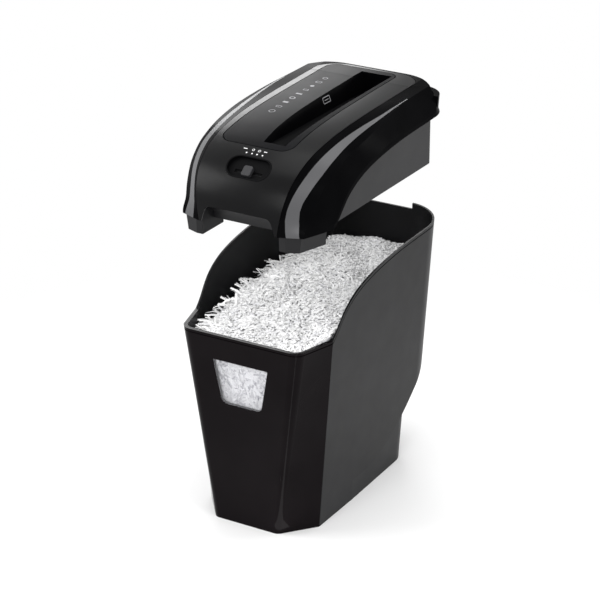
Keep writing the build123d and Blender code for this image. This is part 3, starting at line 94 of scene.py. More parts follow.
# %% [markdown]
# Helpers for finishes
# A colour is written as the sRGB hex value that a paint chart or a colour picker gives, and the renderer
# wants linear light, so one function turns one into the other. A pattern's scale is worked out from its
# real size. One more function adds a shader node with its settings and links, and every material is made
# by it.


# %% Colour and node helpers
def linear(code):
    """Linear colour of an sRGB hex value: v / 12.92 near black, else ((v + 0.055) / 1.055) to the 2.4."""
    parts = [int(code[i:i + 2], 16) / 255 for i in (1, 3, 5)]
    return [v / 12.92 if v <= 0.04045 else ((v + 0.055) / 1.055) ** 2.4 for v in parts] + [1.0]


def scale_of(size_mm):
    """Scale of a noise whose largest patches have the given size: one over the size in metres."""
    return 1 / (size_mm * MM)


def add(tree, kind, settings=None, ordered=(), **links):
    """Adds a node. Settings are unlinked inputs, properties or a colour ramp's stops. Ordered sources are
    linked to the first inputs in turn, the others to the inputs they name, with _ for a space."""
    node = tree.nodes.new(kind)
    for key, value in (settings or {}).items():
        if key == "stops":
            for element, (position, code) in zip(node.color_ramp.elements, value):
                element.position = position
                element.color = linear(code)
        elif key in node.inputs:
            node.inputs[key].default_value = value
        else:
            setattr(node, key, value)
    for place, source in enumerate(ordered):
        tree.links.new(source, node.inputs[place])
    for key, source in links.items():
        tree.links.new(source, node.inputs[key.replace("_", " ")])
    return node


def new_material(name):
    """Empty node material; returns it with its node tree and its Object coordinates."""
    material = bpy.data.materials.new(name)
    material.use_nodes = True
    tree = material.node_tree
    tree.nodes.clear()
    return material, tree, add(tree, "ShaderNodeTexCoord").outputs["Object"]


def shade(tree, settings, **links):
    """Ends a material with a principled shader, given its settings and links, and the output."""
    shader = add(tree, "ShaderNodeBsdfPrincipled", settings, **links)
    add(tree, "ShaderNodeOutputMaterial", Surface=shader.outputs["BSDF"])


print("mid grey in linear light:", round(linear("#808080")[0], 3))

# %% [markdown]
# Moulded plastics
# All the outer pieces are injection-moulded ABS, black through and through. Where the mould was
# spark-eroded the skin has a fine grain that breaks the light up into a satin sheen; where it was polished
# the skin is a dark mirror with faint handling marks. Both come from one recipe: a grain bump, and a slow
# drift of colour and roughness over the piece. The real grain is a few tenths of a millimetre wide and too
# fine to show here, so it is drawn about 1 mm wide, and the waves of a polished skin several. Polished
# skins mirror less here than plain ABS does, because the studio of this scene is white all round and would
# turn them grey. The crown of the head falls away a little to both sides; its solid is straight across, so
# a broad parabola in the bump leans the skin outwards.

# %% Moulded ABS
COLOUR_DRIFT_MM, POLISH_DRIFT_MM = 60.0, 25.0
ABS_IOR = 1.5
PLAIN_MIRROR = 0.5


def moulded(name, codes, rough, grain_mm, depth_mm, mirror=PLAIN_MIRROR, fall=0.0):
    """ABS: two colours and the roughness drift over the piece, and a noise of the grain's size gives bump.
    A fall bends the skin down to both sides: the height is minus the fall times X squared, in metres."""
    material, tree, place = new_material(name)
    colour_drift = {"Scale": scale_of(COLOUR_DRIFT_MM), "Detail": 2.0}
    broad = add(tree, "ShaderNodeTexNoise", colour_drift, Vector=place)
    colour = add(tree, "ShaderNodeValToRGB", {"stops": zip((0.35, 0.65), codes)}, Fac=broad.outputs["Fac"])
    polish_drift = {"Scale": scale_of(POLISH_DRIFT_MM), "Detail": 4.0}
    middle = add(tree, "ShaderNodeTexNoise", polish_drift, Vector=place)
    polish_range = {"To Min": rough[0], "To Max": rough[1]}
    polish = add(tree, "ShaderNodeMapRange", polish_range, Value=middle.outputs["Fac"])
    grain = add(tree, "ShaderNodeTexNoise", {"Scale": scale_of(grain_mm), "Detail": 1.0}, Vector=place)
    relief = {"Strength": 0.5, "Distance": depth_mm * MM}
    bump = add(tree, "ShaderNodeBump", relief, Height=grain.outputs["Fac"])
    if fall:
        across = add(tree, "ShaderNodeSeparateXYZ", Vector=place).outputs["X"]
        square = add(tree, "ShaderNodeMath", {"operation": "MULTIPLY"}, (across, across))
        falling = {"Distance": fall, "invert": True}
        lean = add(tree, "ShaderNodeBump", falling, Height=square.outputs["Value"])
        tree.links.new(lean.outputs["Normal"], bump.inputs["Normal"])
    shade(tree, {"IOR": ABS_IOR, "Specular IOR Level": mirror}, Base_Color=colour.outputs["Color"],
          Roughness=polish.outputs["Result"], Normal=bump.outputs["Normal"])
    return material


# %% Moulded finishes
CROWN_FALL = 1.6
FINISH = {
    "bin_satin": moulded("ABS_grained_bin", ("#0d0d0e", "#121214"), (0.36, 0.46), 0.9, 0.012, 0.15),
    "bin_gloss": moulded("ABS_polished_bin_front", ("#0b0709", "#0f0b0d"), (0.07, 0.13), 6.0, 0.004, 0.06),
    "cover_satin": moulded("ABS_satin_cover", ("#09090a", "#0d0d0e"), (0.26, 0.34), 0.8, 0.008, 0.11,
                           CROWN_FALL),
    "frame_gloss": moulded("ABS_polished_wings", ("#070708", "#0b0b0c"), (0.10, 0.18), 6.0, 0.004, 0.004),
    "stripe_grey": moulded("ABS_painted_stripe", ("#4a4a4c", "#505052"), (0.36, 0.44), 0.7, 0.008, 0.4),
    "housing_satin": moulded("ABS_grained_housing", ("#0f0f11", "#141416"), (0.44, 0.54), 1.1, 0.015, 0.26),
    "knob_black": moulded("ABS_switch_well", ("#050506", "#080809"), (0.5, 0.6), 0.8, 0.010, 0.05),
    "part_black": moulded("PBT_moulded", ("#1b1b1d", "#202022"), (0.5, 0.6), 1.0, 0.012),
    "gear_plastic": moulded("POM_gear", ("#dcdad2", "#d2d0c8"), (0.3, 0.4), 1.5, 0.006),
    "board_green": moulded("FR4_board", ("#1c5a35", "#22633c"), (0.4, 0.5), 1.2, 0.006),
    "rubber": moulded("PVC_gland", ("#161617", "#1a1a1b"), (0.6, 0.7), 0.8, 0.012, 0.3),
}
NODE_FINISH = {
    "slot_panel": moulded("ABS_matt_slot_panel", ("#0e0e0f", "#121214"), (0.42, 0.5), 0.9, 0.012, 0.035,
                          CROWN_FALL),
    "switch_knob": moulded("ABS_switch_knob", ("#29292b", "#2f2f31"), (0.4, 0.48), 0.8, 0.010, 0.3),
}
# Painted shade for the basin: a near-black skin that hardly mirrors, so the hollow reads dark.
BASIN_PAINTED_SHADE = moulded("ABS_basin_painted_shade", ("#040405", "#070708"), (0.14, 0.22), 5.0, 0.004, 0.01)
print("moulded finishes:", len(FINISH) + len(NODE_FINISH) + 1)

# %% [markdown]
# Metal inside the head
# The cutters, shafts and plates show only through the slot and the outlet. Ground steel has fine parallel
# scratches, so a noise stretched along one axis drives its roughness, drawn coarser than the real scratches
# so that it shows; sintered bronze bushes are duller and have no direction.


# %% Metals
def metal(name, codes, rough, scratch_mm, stretch):
    """Metal: fully metallic colour, and roughness from a noise stretched along the grinding direction."""
    material, tree, place = new_material(name)
    turned = add(tree, "ShaderNodeMapping", {"Scale": stretch}, Vector=place).outputs["Vector"]
    scratch = add(tree, "ShaderNodeTexNoise", {"Scale": scale_of(scratch_mm), "Detail": 3.0}, Vector=turned)
    colour = add(tree, "ShaderNodeValToRGB", {"stops": zip((0.0, 1.0), codes)}, Fac=scratch.outputs["Fac"])
    polish_range = {"To Min": rough[0], "To Max": rough[1]}
    polish = add(tree, "ShaderNodeMapRange", polish_range, Value=scratch.outputs["Fac"])
    shade(tree, {"Metallic": 1.0}, Base_Color=colour.outputs["Color"], Roughness=polish.outputs["Result"])
    return material


FINISH["steel"] = metal("steel_zinc_plated", ("#a9abae", "#bdbfc2"), (0.28, 0.42), 1.5, (1.0, 0.15, 1.0))
FINISH["cutter_steel"] = metal("steel_ground", ("#85878a", "#a0a2a5"), (0.25, 0.45), 0.8, (1.0, 0.1, 1.0))
FINISH["bronze"] = metal("bronze_sintered", ("#8f6b3a", "#a67e48"), (0.4, 0.55), 0.6, (1.0, 1.0, 1.0))
print("finishes with the metals:", len(FINISH) + len(NODE_FINISH) + 1)

# %% [markdown]
# The window
# The bin's level window is a clear pane pressed against the paper. Real glass maths is slow and dark for a
# pane in front of a filled bin, so the pane is mostly see-through by its alpha, which lets the lamps reach
# the paper.

# %% Window pane
PANE_DRIFT_MM = 20.0
PANE_ALPHA = 0.12
POLYCARBONATE_IOR = 1.58


def window_pane():
    """Clear polycarbonate: a smooth pale skin at low alpha, whose polish drifts slightly."""
    material, tree, place = new_material("PC_clear_moulded")
    drift = add(tree, "ShaderNodeTexNoise", {"Scale": scale_of(PANE_DRIFT_MM), "Detail": 2.0}, Vector=place)
    tints = zip((0.3, 0.7), ("#b4b4b8", "#c6c6ca"))
    colour = add(tree, "ShaderNodeValToRGB", {"stops": tints}, Fac=drift.outputs["Fac"])
    polish = add(tree, "ShaderNodeMapRange", {"To Min": 0.05, "To Max": 0.12}, Value=drift.outputs["Fac"])
    shade(tree, {"Alpha": PANE_ALPHA, "IOR": POLYCARBONATE_IOR}, Base_Color=colour.outputs["Color"],
          Roughness=polish.outputs["Result"])
    return material


FINISH["window_clear"] = window_pane()
print("window alpha:", PANE_ALPHA)

# %% [markdown]
# Finishes onto the solids
# Each solid has one material slot from the record, and the record says which slot that is. Two solids share
# a slot with a neighbour but have a skin of their own: the slot panel is duller than the cover, the knob
# paler than its well. The paper basin in the slot panel gets painted shade: the faces inside its outline and
# under the crown's line get a second slot, near black and hardly mirroring, which darkens the hollow as
# shade would. The crown's line is given by the same points as in the part.

# %% Assign finishes
slot_of = {part["node"]: part["material_slot"] for part in frame["record"]["subparts"]}
for name, solid in nodes.items():
    solid.data.materials.clear()
    solid.data.materials.append(NODE_FINISH.get(name, FINISH[slot_of[name]]))

BASIN_X, BASIN_Y, UNDER_SKIN = (-10.3, 31.8), (-88.3, 149.3), 0.5
CROWN_Y = (-97.0, -76.0, -48.0, -15.0, 25.0, 75.0, 125.0, 200.0)
CROWN_Z = (464.2, 469.8, 474.5, 477.7, 479.9, 481.5, 483.0, 484.0)
panel_mesh = nodes["slot_panel"].data
# The second slot paints shade into the basin's faces.
panel_mesh.materials.append(BASIN_PAINTED_SHADE)
centres = np.empty(3 * len(panel_mesh.polygons))
panel_mesh.polygons.foreach_get("center", centres)
centre_x, centre_y, centre_z = centres[0::3] / MM, centres[1::3] / MM, centres[2::3] / MM
in_basin_shade = (centre_x > BASIN_X[0]) & (centre_x < BASIN_X[1])
in_basin_shade &= (centre_y > BASIN_Y[0]) & (centre_y < BASIN_Y[1])
in_basin_shade &= centre_z < np.interp(centre_y, CROWN_Y, CROWN_Z) - UNDER_SKIN
panel_mesh.polygons.foreach_set("material_index", in_basin_shade.astype(np.int32))
print("finished solids:", len(slot_of), "basin faces:", int(in_basin_shade.sum()))

# %% [markdown]
# The shredded paper
# The bin is nearly full of cross-cut shreds, heaped higher towards the rear and falling away at the left
# wall. The heap is made in two layers. A closed mound fills the bin under the surface, and thousands of
# small curled strips lie on it, so the surface is real geometry and casts its own small shadows. The bin's
# inside is described first, in mm: half widths and ends at the floor, and how much they grow with height.

# %% Inside of the bin
SIDE_WALL, FRONT_WALL = 2.4, 4.8
OUTER_SIDE, OUTER_FRONT_Y = 76.2, -138.7
SIDE_LOW, SIDE_SLOPE = OUTER_SIDE - SIDE_WALL, 0.07
FRONT_LOW, FRONT_SLOPE = 43.0, 0.1497
FRONT_Y_LOW, FRONT_Y_SLOPE = OUTER_FRONT_Y + FRONT_WALL, -0.0518
SEAM_Y = -97.5
REAR_Y, REAR_ROUND = 176.6, 50.0
STEP_TOP, STEP_REAR_Y, STEP_IN = 165.0, 114.0, 9.0
TINY = 1e-6


def inside_bin(points, margin):
    """Points moved in to lie a margin inside the walls: clipped to sides and ends, to the chamfers in front
    and to round corners at the rear; below the step the rear and the sides stand further in."""
    x, y, z = points[..., 0], points[..., 1], points[..., 2]
    low = z < STEP_TOP
    side = SIDE_LOW + SIDE_SLOPE * z - margin - np.where(low, STEP_IN, 0.0)
    front = FRONT_Y_LOW + FRONT_Y_SLOPE * z + margin
    rear = np.where(low, STEP_REAR_Y, REAR_Y) - margin
    x = np.clip(x, -side, side)
    y = np.clip(y, front, rear)
    half = FRONT_LOW + FRONT_SLOPE * z - FRONT_WALL
    reach = np.hypot(side - half, SEAM_Y - front)
    normal_x, normal_y = (SEAM_Y - front) / reach, -(side - half) / reach
    over = np.clip((np.abs(x) - half) * normal_x + (y - front) * normal_y, 0, None)
    x = x - np.sign(x) * over * normal_x
    y = y - over * normal_y
    past_x, past_y = np.abs(x) - (side - REAR_ROUND), y - (rear - REAR_ROUND)
    far = np.maximum(np.hypot(past_x, past_y), TINY)
    corner = (past_x > 0) & (past_y > 0) & (far > REAR_ROUND)
    x = np.where(corner, np.sign(x) * (side - REAR_ROUND + past_x * REAR_ROUND / far), x)
    y = np.where(corner, rear - REAR_ROUND + past_y * REAR_ROUND / far, y)
    return np.stack([x, y, z], axis=-1)


print("inside width at the floor in mm:", 2 * SIDE_LOW)

# %% [markdown]
# The heap's form
# The top of the heap is a height over the plan. Its profile from front to rear follows the photograph, a
# parabola takes it down at the left wall, and slow sine waves make it uneven.

# %% Heap form
HEAP_Y = np.array([-150.0, -120.0, -80.0, -40.0, 0.0, 60.0, 110.0, 150.0, 178.0])
HEAP_Z = np.array([240.0, 247.0, 257.0, 265.0, 269.0, 269.0, 266.0, 262.0, 257.0])
LEFT_START, LEFT_REACH, LEFT_DROP = -34.0, 45.0, 32.0
LUMP_HIGH, LUMP_X, LUMP_Y, LUMP_START = 2.2, 17.0, 21.0, 0.6
RIPPLE_HIGH, RIPPLE_X, RIPPLE_Y = 1.4, 8.3, 11.7


def heap_height(x, y):
    """Height in mm: a profile along Y, less a parabola down to the left wall, plus slow unevenness."""
    fall = LEFT_DROP * (np.clip(LEFT_START - x, 0, None) / LEFT_REACH) ** 2
    lumps = LUMP_HIGH * np.sin(x / LUMP_X + LUMP_START) * np.sin(y / LUMP_Y)
    ripples = RIPPLE_HIGH * np.sin(x / RIPPLE_X + y / RIPPLE_Y)
    return np.interp(y, HEAP_Y, HEAP_Z) - fall + (lumps + ripples)


print("heap height at the middle in mm:", round(float(heap_height(0.0, 0.0)), 1))

# %% [markdown]
# From points to a piece
# Every piece of paper and every mark is made of grids of points. One function numbers the faces of a grid,
# and another turns points and faces into an object that moves with the bin or with the head.


# %% Mesh helpers
def grid_faces(rows, columns, wrap=False):
    """Quads of a grid of points numbered row by row; wrap joins the last column to the first."""
    across = columns if wrap else columns - 1
    row, column = np.meshgrid(np.arange(rows - 1), np.arange(across), indexing="ij")
    right = (column + 1) % columns
    here, above = row * columns, (row + 1) * columns
    return np.stack([here + column, here + right, above + right, above + column], -1).reshape(-1, 4)


def mesh_piece(name, points_mm, faces, material, body):
    """Object at the origin from points in mm and faces, with its material, riding on a body."""
    mesh = bpy.data.meshes.new(name)
    points = (np.asarray(points_mm).reshape(-1, 3) * MM).tolist()
    mesh.from_pydata(points, [], [list(face) for face in faces])
    mesh.polygons.foreach_set("use_smooth", np.full(len(mesh.polygons), True))
    mesh.materials.append(material)
    mesh.update()
    piece = bpy.data.objects.new(name, mesh)
    scene.collection.objects.link(piece)
    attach(piece, body)
    return piece


# %% [markdown]
# Paper
# Office paper is bright white and quite matt, printed here and there, so cut shreds show grey flecks. Each
# strip gets one random number on its faces, which shifts its tone, and a fine noise at print size gives the
# flecks. The shreds behind the window are a second copy of the paper with greyer tones, which are painted
# shade for the dim inside of the bin behind the pane, and with denser flecks of print.

# %% Paper material
PRINT_MM = 2.8
# A Mix node set to colours has its factor, two colours and result at these places among its sockets
MIX_FACTOR, MIX_FIRST, MIX_SECOND, MIX_RESULT = 0, 6, 7, 2


def cut_paper(name, codes, print_from, print_to):
    """Uncoated paper: near white by the strip's own tone, with flecks where a noise passes a threshold."""
    material, tree, place = new_material(name)
    tone = add(tree, "ShaderNodeAttribute", {"attribute_name": "tone"}).outputs["Fac"]
    white = add(tree, "ShaderNodeValToRGB", {"stops": zip((0.0, 0.3), codes)}, Fac=tone)
    print_noise = add(tree, "ShaderNodeTexNoise", {"Scale": scale_of(PRINT_MM), "Detail": 2.0}, Vector=place)
    print_range = {"From Min": print_from, "From Max": print_to}
    fleck = add(tree, "ShaderNodeMapRange", print_range, Value=print_noise.outputs["Fac"])
    mixed = add(tree, "ShaderNodeMix", {"data_type": "RGBA"})
    tree.links.new(fleck.outputs["Result"], mixed.inputs[MIX_FACTOR])
    tree.links.new(white.outputs["Color"], mixed.inputs[MIX_FIRST])
    mixed.inputs[MIX_SECOND].default_value = linear("#b4b4ba")
    shade(tree, {"Roughness": 0.85, "Specular IOR Level": 0.3}, Base_Color=mixed.outputs[MIX_RESULT])
    return material


PAPER = cut_paper("paper_uncoated_cut", ("#f2f2f5", "#ffffff"), 0.68, 0.78)
# The copy for the shreds behind the window: its greyer tones are painted shade, its denser flecks are print.
SHADED_PRINTED_PAPER = cut_paper("paper_printed_cut_painted_shade", ("#a9a9b0", "#ededf0"), 0.54, 0.64)
print("papers:", PAPER.name, SHADED_PRINTED_PAPER.name)

# %% [markdown]
# The mound under the strips
# Rings of points run round the inside of the bin from the floor up to the heap's edge and then in towards
# the middle, so the mound is one closed skin, a little inside the walls and a little under the strips.

# %% Mound
AROUND = 160
MIDDLE_Y = 10.0
FAR_X, FAR_Y, FAR_STEPS = 200, 260, 400
MOUND_MARGIN, SINK = 3.0, 4.0
MOUND_FLOOR, RIM_LEVEL, CLOSED = 4.0, 240.0, 0.001
SIDE_LEVELS = (MOUND_FLOOR, 40.0, 80.0, 120.0, 155.0, 175.0, 205.0, 222.0)
TOP_SHARES = (0.99, 0.93, 0.85, 0.75, 0.65, 0.55, 0.45, 0.35, 0.25, 0.15, 0.07, CLOSED)
angles = np.linspace(0, 2 * np.pi, AROUND, endpoint=False)
far_x, far_y = FAR_X * np.cos(angles), FAR_Y * np.sin(angles)


def ring(z, share):
    """Ring of points at height z, at a share of the way from the middle of the bin out to its walls: on
    each line from the middle the wall is where the first point has to be moved in."""
    steps = np.linspace(0, 1, FAR_STEPS)[:, None]
    line = np.stack([far_x * steps, MIDDLE_Y + far_y * steps, np.full_like(far_x * steps, z)], -1)
    kept = inside_bin(line, MOUND_MARGIN)
    within = np.linalg.norm((kept - line)[..., :2], axis=-1) < TINY
    edge = line[within.sum(0) - 1, np.arange(AROUND)]
    middle = np.array([0.0, MIDDLE_Y, z])
    return middle + (edge - middle) * share


def top_ring(share):
    """Ring of points on the heap's top, sunk a little under the strips."""
    points = ring(RIM_LEVEL, share)
    points[:, 2] = heap_height(points[:, 0], points[:, 1]) - SINK
    return points


side_rings = [ring(z, 1.0) for z in SIDE_LEVELS]
top_rings = [top_ring(share) for share in TOP_SHARES]
mound_points = np.array([ring(MOUND_FLOOR, CLOSED)] + side_rings + top_rings)
mound_faces = grid_faces(len(mound_points), AROUND, wrap=True)
mound = mesh_piece("paper_mound", mound_points, mound_faces, PAPER, "bin")
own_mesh(mound)
print("mound top in mm:", round(float(mound_points[..., 2].max()), 1))

# %% [markdown]
# The strips
# A strip is a short ribbon, bent to an arc and twisted a little, whose middle lies on the heap. All strips
# are worked out at once: one array holds every strip's place, heading, tilt, bend and twist, and a second
# axis runs along the strip.

# %% Ribbons
SECTIONS = 5
RIBBON_MARGIN = 2.0
random = np.random.default_rng(7)


def ribbons(middle, heading, tilt, length, width, bend, twist, roll):
    """Ribbon points: along an arc of the given bend in the plane of heading and up, with the width turned
    about the arc by the roll and, along the ribbon, by the twist."""
    t = np.linspace(-0.5, 0.5, SECTIONS)[None, :]
    along = np.stack([np.cos(heading) * np.cos(tilt), np.sin(heading) * np.cos(tilt), np.sin(tilt)], -1)
    side = np.stack([-np.sin(heading), np.cos(heading), np.zeros_like(heading)], -1)
    up = np.cross(along, side)
    run = t * length[:, None]
    arch = bend[:, None] * (0.25 - t ** 2) * length[:, None]
    centre = middle[:, None] + along[:, None] * run[..., None] + up[:, None] * arch[..., None]
    angle = roll[:, None] + twist[:, None] * t
    across = side[:, None] * np.cos(angle)[..., None] + up[:, None] * np.sin(angle)[..., None]
    half = (width / 2)[:, None, None] * across
    return np.stack([centre - half, centre + half], axis=2)


def shapes(count, length, width, bend, twist, roll):
    """Random shapes for ribbons, drawn in this order: length and width evenly within their ranges in mm,
    bend, twist and roll about a mean with a deviation."""
    return {"length": random.uniform(*length, count), "width": random.uniform(*width, count),
            "bend": random.normal(*bend, count), "twist": random.normal(*twist, count),
            "roll": random.normal(*roll, count)}


def ribbon_piece(name, points, paper=PAPER):
    """Piece made of ribbons inside the bin, with a random tone for each ribbon stored on its faces."""
    count = len(points)
    one = grid_faces(SECTIONS, 2)
    faces = (one[None] + (np.arange(count) * SECTIONS * 2)[:, None, None]).reshape(-1, 4)
    piece = mesh_piece(name, inside_bin(points, RIBBON_MARGIN), faces, paper, "bin")
    tone = piece.data.attributes.new("tone", "FLOAT", "FACE")
    tone.data.foreach_set("value", np.repeat(random.uniform(0, 1, count), len(one)))
    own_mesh(piece)
    print(name, "ribbons:", count)
    return piece


# %% Strips on the heap
STRIPS = 18000
STRIP_X, STRIP_Y, STRIP_LIFT = (-92, 92), (-150, 176), (-2.0, 1.2)
STRIP_MARGIN = 4.0
STRIP_TILT = (0, 0.13)
STRIP_SHAPE = {"length": (5, 13), "width": (1.6, 2.5), "bend": (0.05, 0.25), "twist": (0, 0.7),
               "roll": (0, 0.22)}


def heap_strips(count):
    """Strips scattered evenly over the heap's top, most of them lying nearly flat on it."""
    x = random.uniform(*STRIP_X, count)
    y = random.uniform(*STRIP_Y, count)
    kept = inside_bin(np.stack([x, y, heap_height(x, y)], -1), STRIP_MARGIN)
    x, y = kept[:, 0], kept[:, 1]
    z = heap_height(x, y) + random.uniform(*STRIP_LIFT, count)
    heading = random.uniform(0, 2 * np.pi, count)
    tilt = random.normal(*STRIP_TILT, count)
    return ribbons(np.stack([x, y, z], -1), heading, tilt, **shapes(count, **STRIP_SHAPE))


ribbon_piece("paper_strips", heap_strips(STRIPS))

# %% [markdown]
# Loose ends at the left
# Along the heap's left shoulder single shreds stick out over the dark gap beside the wall. They are the
# same ribbons, longer and more curled, most of them heading to the left.

# %% Loose ends
LOOSE = 160
LOOSE_X, LOOSE_Y, LOOSE_LIFT = (-76, -54), (-135, 120), (0.5, 3.5)
LOOSE_HEADING, LOOSE_TILT = (np.pi, 0.7), (0.15, 0.3)
LOOSE_SHAPE = {"length": (18, 32), "width": (2.0, 2.9), "bend": (0.45, 0.3), "twist": (0, 0.8),
               "roll": (0, 0.4)}


def loose_ends(count):
    """Long curled strips along the left shoulder, heading left give or take 40 degrees."""
    y = random.uniform(*LOOSE_Y, count)
    x = random.uniform(*LOOSE_X, count)
    z = heap_height(x, y) + random.uniform(*LOOSE_LIFT, count)
    heading = random.normal(*LOOSE_HEADING, count)
    tilt = random.normal(*LOOSE_TILT, count)
    return ribbons(np.stack([x, y, z], -1), heading, tilt, **shapes(count, **LOOSE_SHAPE))


ribbon_piece("paper_loose_ends", loose_ends(LOOSE))

# %% [markdown]
# Shreds against the window
# Behind the pane the shreds stand on edge, pressed flat against it in every direction. They are ribbons
# again, tilted at random in the plane of the front wall and rolled so that their flat side faces the pane.

# %% Window shreds
PRESSED = 420
PRESSED_X, PRESSED_Z, PRESSED_GAP = (-40, 40), (150, 224), (2.2, 4.5)
PRESSED_TILT = (-1.5, 1.5)
PRESSED_SHAPE = {"length": (10, 24), "width": (2.0, 3.6), "bend": (0, 0.1), "twist": (0, 0.4),
                 "roll": (np.pi / 2, 0.3)}


def window_shreds(count):
    """Strips just behind the front wall, tilted at random in its plane, flat side to the pane."""
    z = random.uniform(*PRESSED_Z, count)
    x = random.uniform(*PRESSED_X, count)
    y = FRONT_Y_LOW + FRONT_Y_SLOPE * z + random.uniform(*PRESSED_GAP, count)
    heading = np.zeros(count)
    tilt = random.uniform(*PRESSED_TILT, count)
    return ribbons(np.stack([x, y, z], -1), heading, tilt, **shapes(count, **PRESSED_SHAPE))


# These shreds take the greyer paper, whose tones are painted shade.
ribbon_piece("paper_at_window", window_shreds(PRESSED), SHADED_PRINTED_PAPER)

# %% [markdown]
# Printed marks
# A pad printer has put a row of plain signs on the slot panel, four dots with signs over them by the
# switch, and a sheet's outline in the basin. The ink is a few hundredths of a millimetre thick. Each mark
# is drawn flat above the head and dropped on to the skin by a Shrinkwrap modifier, so that it follows the
# crown; the result is then kept as plain mesh.

# %% Mark shapes
AROUND_MARK = 24
circle = np.linspace(0, 2 * np.pi, AROUND_MARK, endpoint=False)


def circle_row(x, y, radius):
    """Points of a flat circle about a point."""
    return np.stack([x + radius * np.cos(circle), y + radius * np.sin(circle), 0 * circle], -1)


def ring_mark(x, y, outer, inner):
    """Flat ring about a point: two circles, row by row."""
    rows = [circle_row(x, y, inner), circle_row(x, y, outer)]
    return np.concatenate(rows), grid_faces(2, AROUND_MARK, wrap=True)


def bar_mark(x, y, wide, deep):
    """Flat bar about a point: four corners and one face."""
    left, right, near, far = x - wide / 2, x + wide / 2, y - deep / 2, y + deep / 2
    corners = [(left, near, 0), (right, near, 0), (right, far, 0), (left, far, 0)]
    return np.array(corners), np.array([[0, 1, 2, 3]])


def joined(marks):
    """One list of points and faces from several marks."""
    starts = np.cumsum([0] + [len(points) for points, faces in marks[:-1]])
    faces = [list(face + start) for (points, rows), start in zip(marks, starts) for face in rows]
    return np.concatenate([points for points, rows in marks]), faces


def frame_mark(x, y, wide, deep, line):
    """Outline of a rectangle about a point: four bars."""
    ends = [bar_mark(x, y + side * deep / 2, wide, line) for side in (-1, 1)]
    sides = [bar_mark(x + side * wide / 2, y, line, deep - line) for side in (-1, 1)]
    return joined(ends + sides)


# %% [markdown]
# Ink
# Pad-printing ink is a thin pale film, matt and a little patchy where the pad lifted off, so its colour
# drifts over a few millimetres.

# %% Ink and its drop on to the skin
INK_MM = 0.06
INK_PATCH_MM = 3.0
DROP_FROM_MM = 5.0


def ink(name, codes):
    """Pad-printing ink: pale, matt, a little uneven."""
    material, tree, place = new_material(name)
    patch = add(tree, "ShaderNodeTexNoise", {"Scale": scale_of(INK_PATCH_MM), "Detail": 2.0}, Vector=place)
    colour = add(tree, "ShaderNodeValToRGB", {"stops": zip((0.3, 0.7), codes)}, Fac=patch.outputs["Fac"])
    shade(tree, {"Roughness": 0.6}, Base_Color=colour.outputs["Color"])
    return material


def printed(name, shape, material, carrier):
    """Piece of ink from a flat shape, dropped straight down on to a solid and left a film above it."""
    points, faces = shape
    above = points + np.array([0, 0, cad_high[2] / MM + DROP_FROM_MM])
    piece = mesh_piece(name, above, faces, material, "head")
    drop = piece.modifiers.new("drop", "SHRINKWRAP")
    drop.target = nodes[carrier]
    drop.wrap_method = "PROJECT"
    drop.use_project_z = True
    drop.use_negative_direction = True
    drop.use_positive_direction = False
    drop.offset = INK_MM * MM
    drop.wrap_mode = "ABOVE_SURFACE"
    shaped = piece.evaluated_get(bpy.context.evaluated_depsgraph_get())
    piece.data = bpy.data.meshes.new_from_object(shaped)
    piece.modifiers.clear()
    places = np.empty(3 * len(piece.data.vertices))
    piece.data.vertices.foreach_get("co", places)
    heights = places[2::3] / MM
    print(name, "height in mm:", np.round(heights.min(), 1), np.round(heights.max(), 1))
    return piece


INK_GREY = ink("ink_grey_pad_printed", ("#8c8c8f", "#9c9c9f"))
INK_WHITE = ink("ink_white_pad_printed", ("#dededf", "#ececed"))

# %% [markdown]
# Signs on the panel and by the switch
# The row on the panel alternates rings, outlines and bars at even steps. Sizes are in mm: outer and inner
# radius of a ring, width and depth of a bar, and the line of an outline.

# %% Marks on the head
ROW_X, ROW_Y = -35.2, np.linspace(-17.6, 105.1, 9)
row = [ring_mark(ROW_X, ROW_Y[0], 4.0, 3.2), frame_mark(ROW_X, ROW_Y[1], 6.5, 4.5, 0.8),
       bar_mark(ROW_X, ROW_Y[2], 7.0, 4.2), ring_mark(ROW_X, ROW_Y[3], 3.8, 2.4),
       bar_mark(ROW_X, ROW_Y[4], 8.0, 3.4), frame_mark(ROW_X, ROW_Y[5], 6.0, 4.0, 0.8),
       ring_mark(ROW_X, ROW_Y[6], 2.6, 0.2), frame_mark(ROW_X, ROW_Y[7], 7.0, 4.6, 1.0),
       ring_mark(ROW_X, ROW_Y[8], 3.4, 2.4)]
printed("print_panel_signs", joined(row), INK_GREY, "slot_panel")

DOT_X, DOT_Y, DOT_OUTER, DOT_INNER = (-12.9, -5.7, 0.9, 8.0), -109.5, 0.95, 0.05
SIGN_Y, SIGN_OUTER, SIGN_INNER, SIGN_LINE = -104.0, 1.7, 1.15, 1.1
dots = [ring_mark(x, DOT_Y, DOT_OUTER, DOT_INNER) for x in DOT_X]
signs = [bar_mark(-17.5, SIGN_Y, 5.0, SIGN_LINE), ring_mark(-7.0, SIGN_Y, SIGN_OUTER, SIGN_INNER),
         ring_mark(0.9, SIGN_Y, SIGN_OUTER, SIGN_INNER), bar_mark(8.8, SIGN_Y, 4.2, SIGN_LINE)]
printed("print_switch_signs", joined(dots + signs), INK_WHITE, "top_cover")

# %% [markdown]
# Sheet's outline in the basin
# It lies on the steep left wall of the basin, where a drop from above would stretch it. It is drawn in the
# wall's own plane instead: one axis along the machine, the other down the wall.

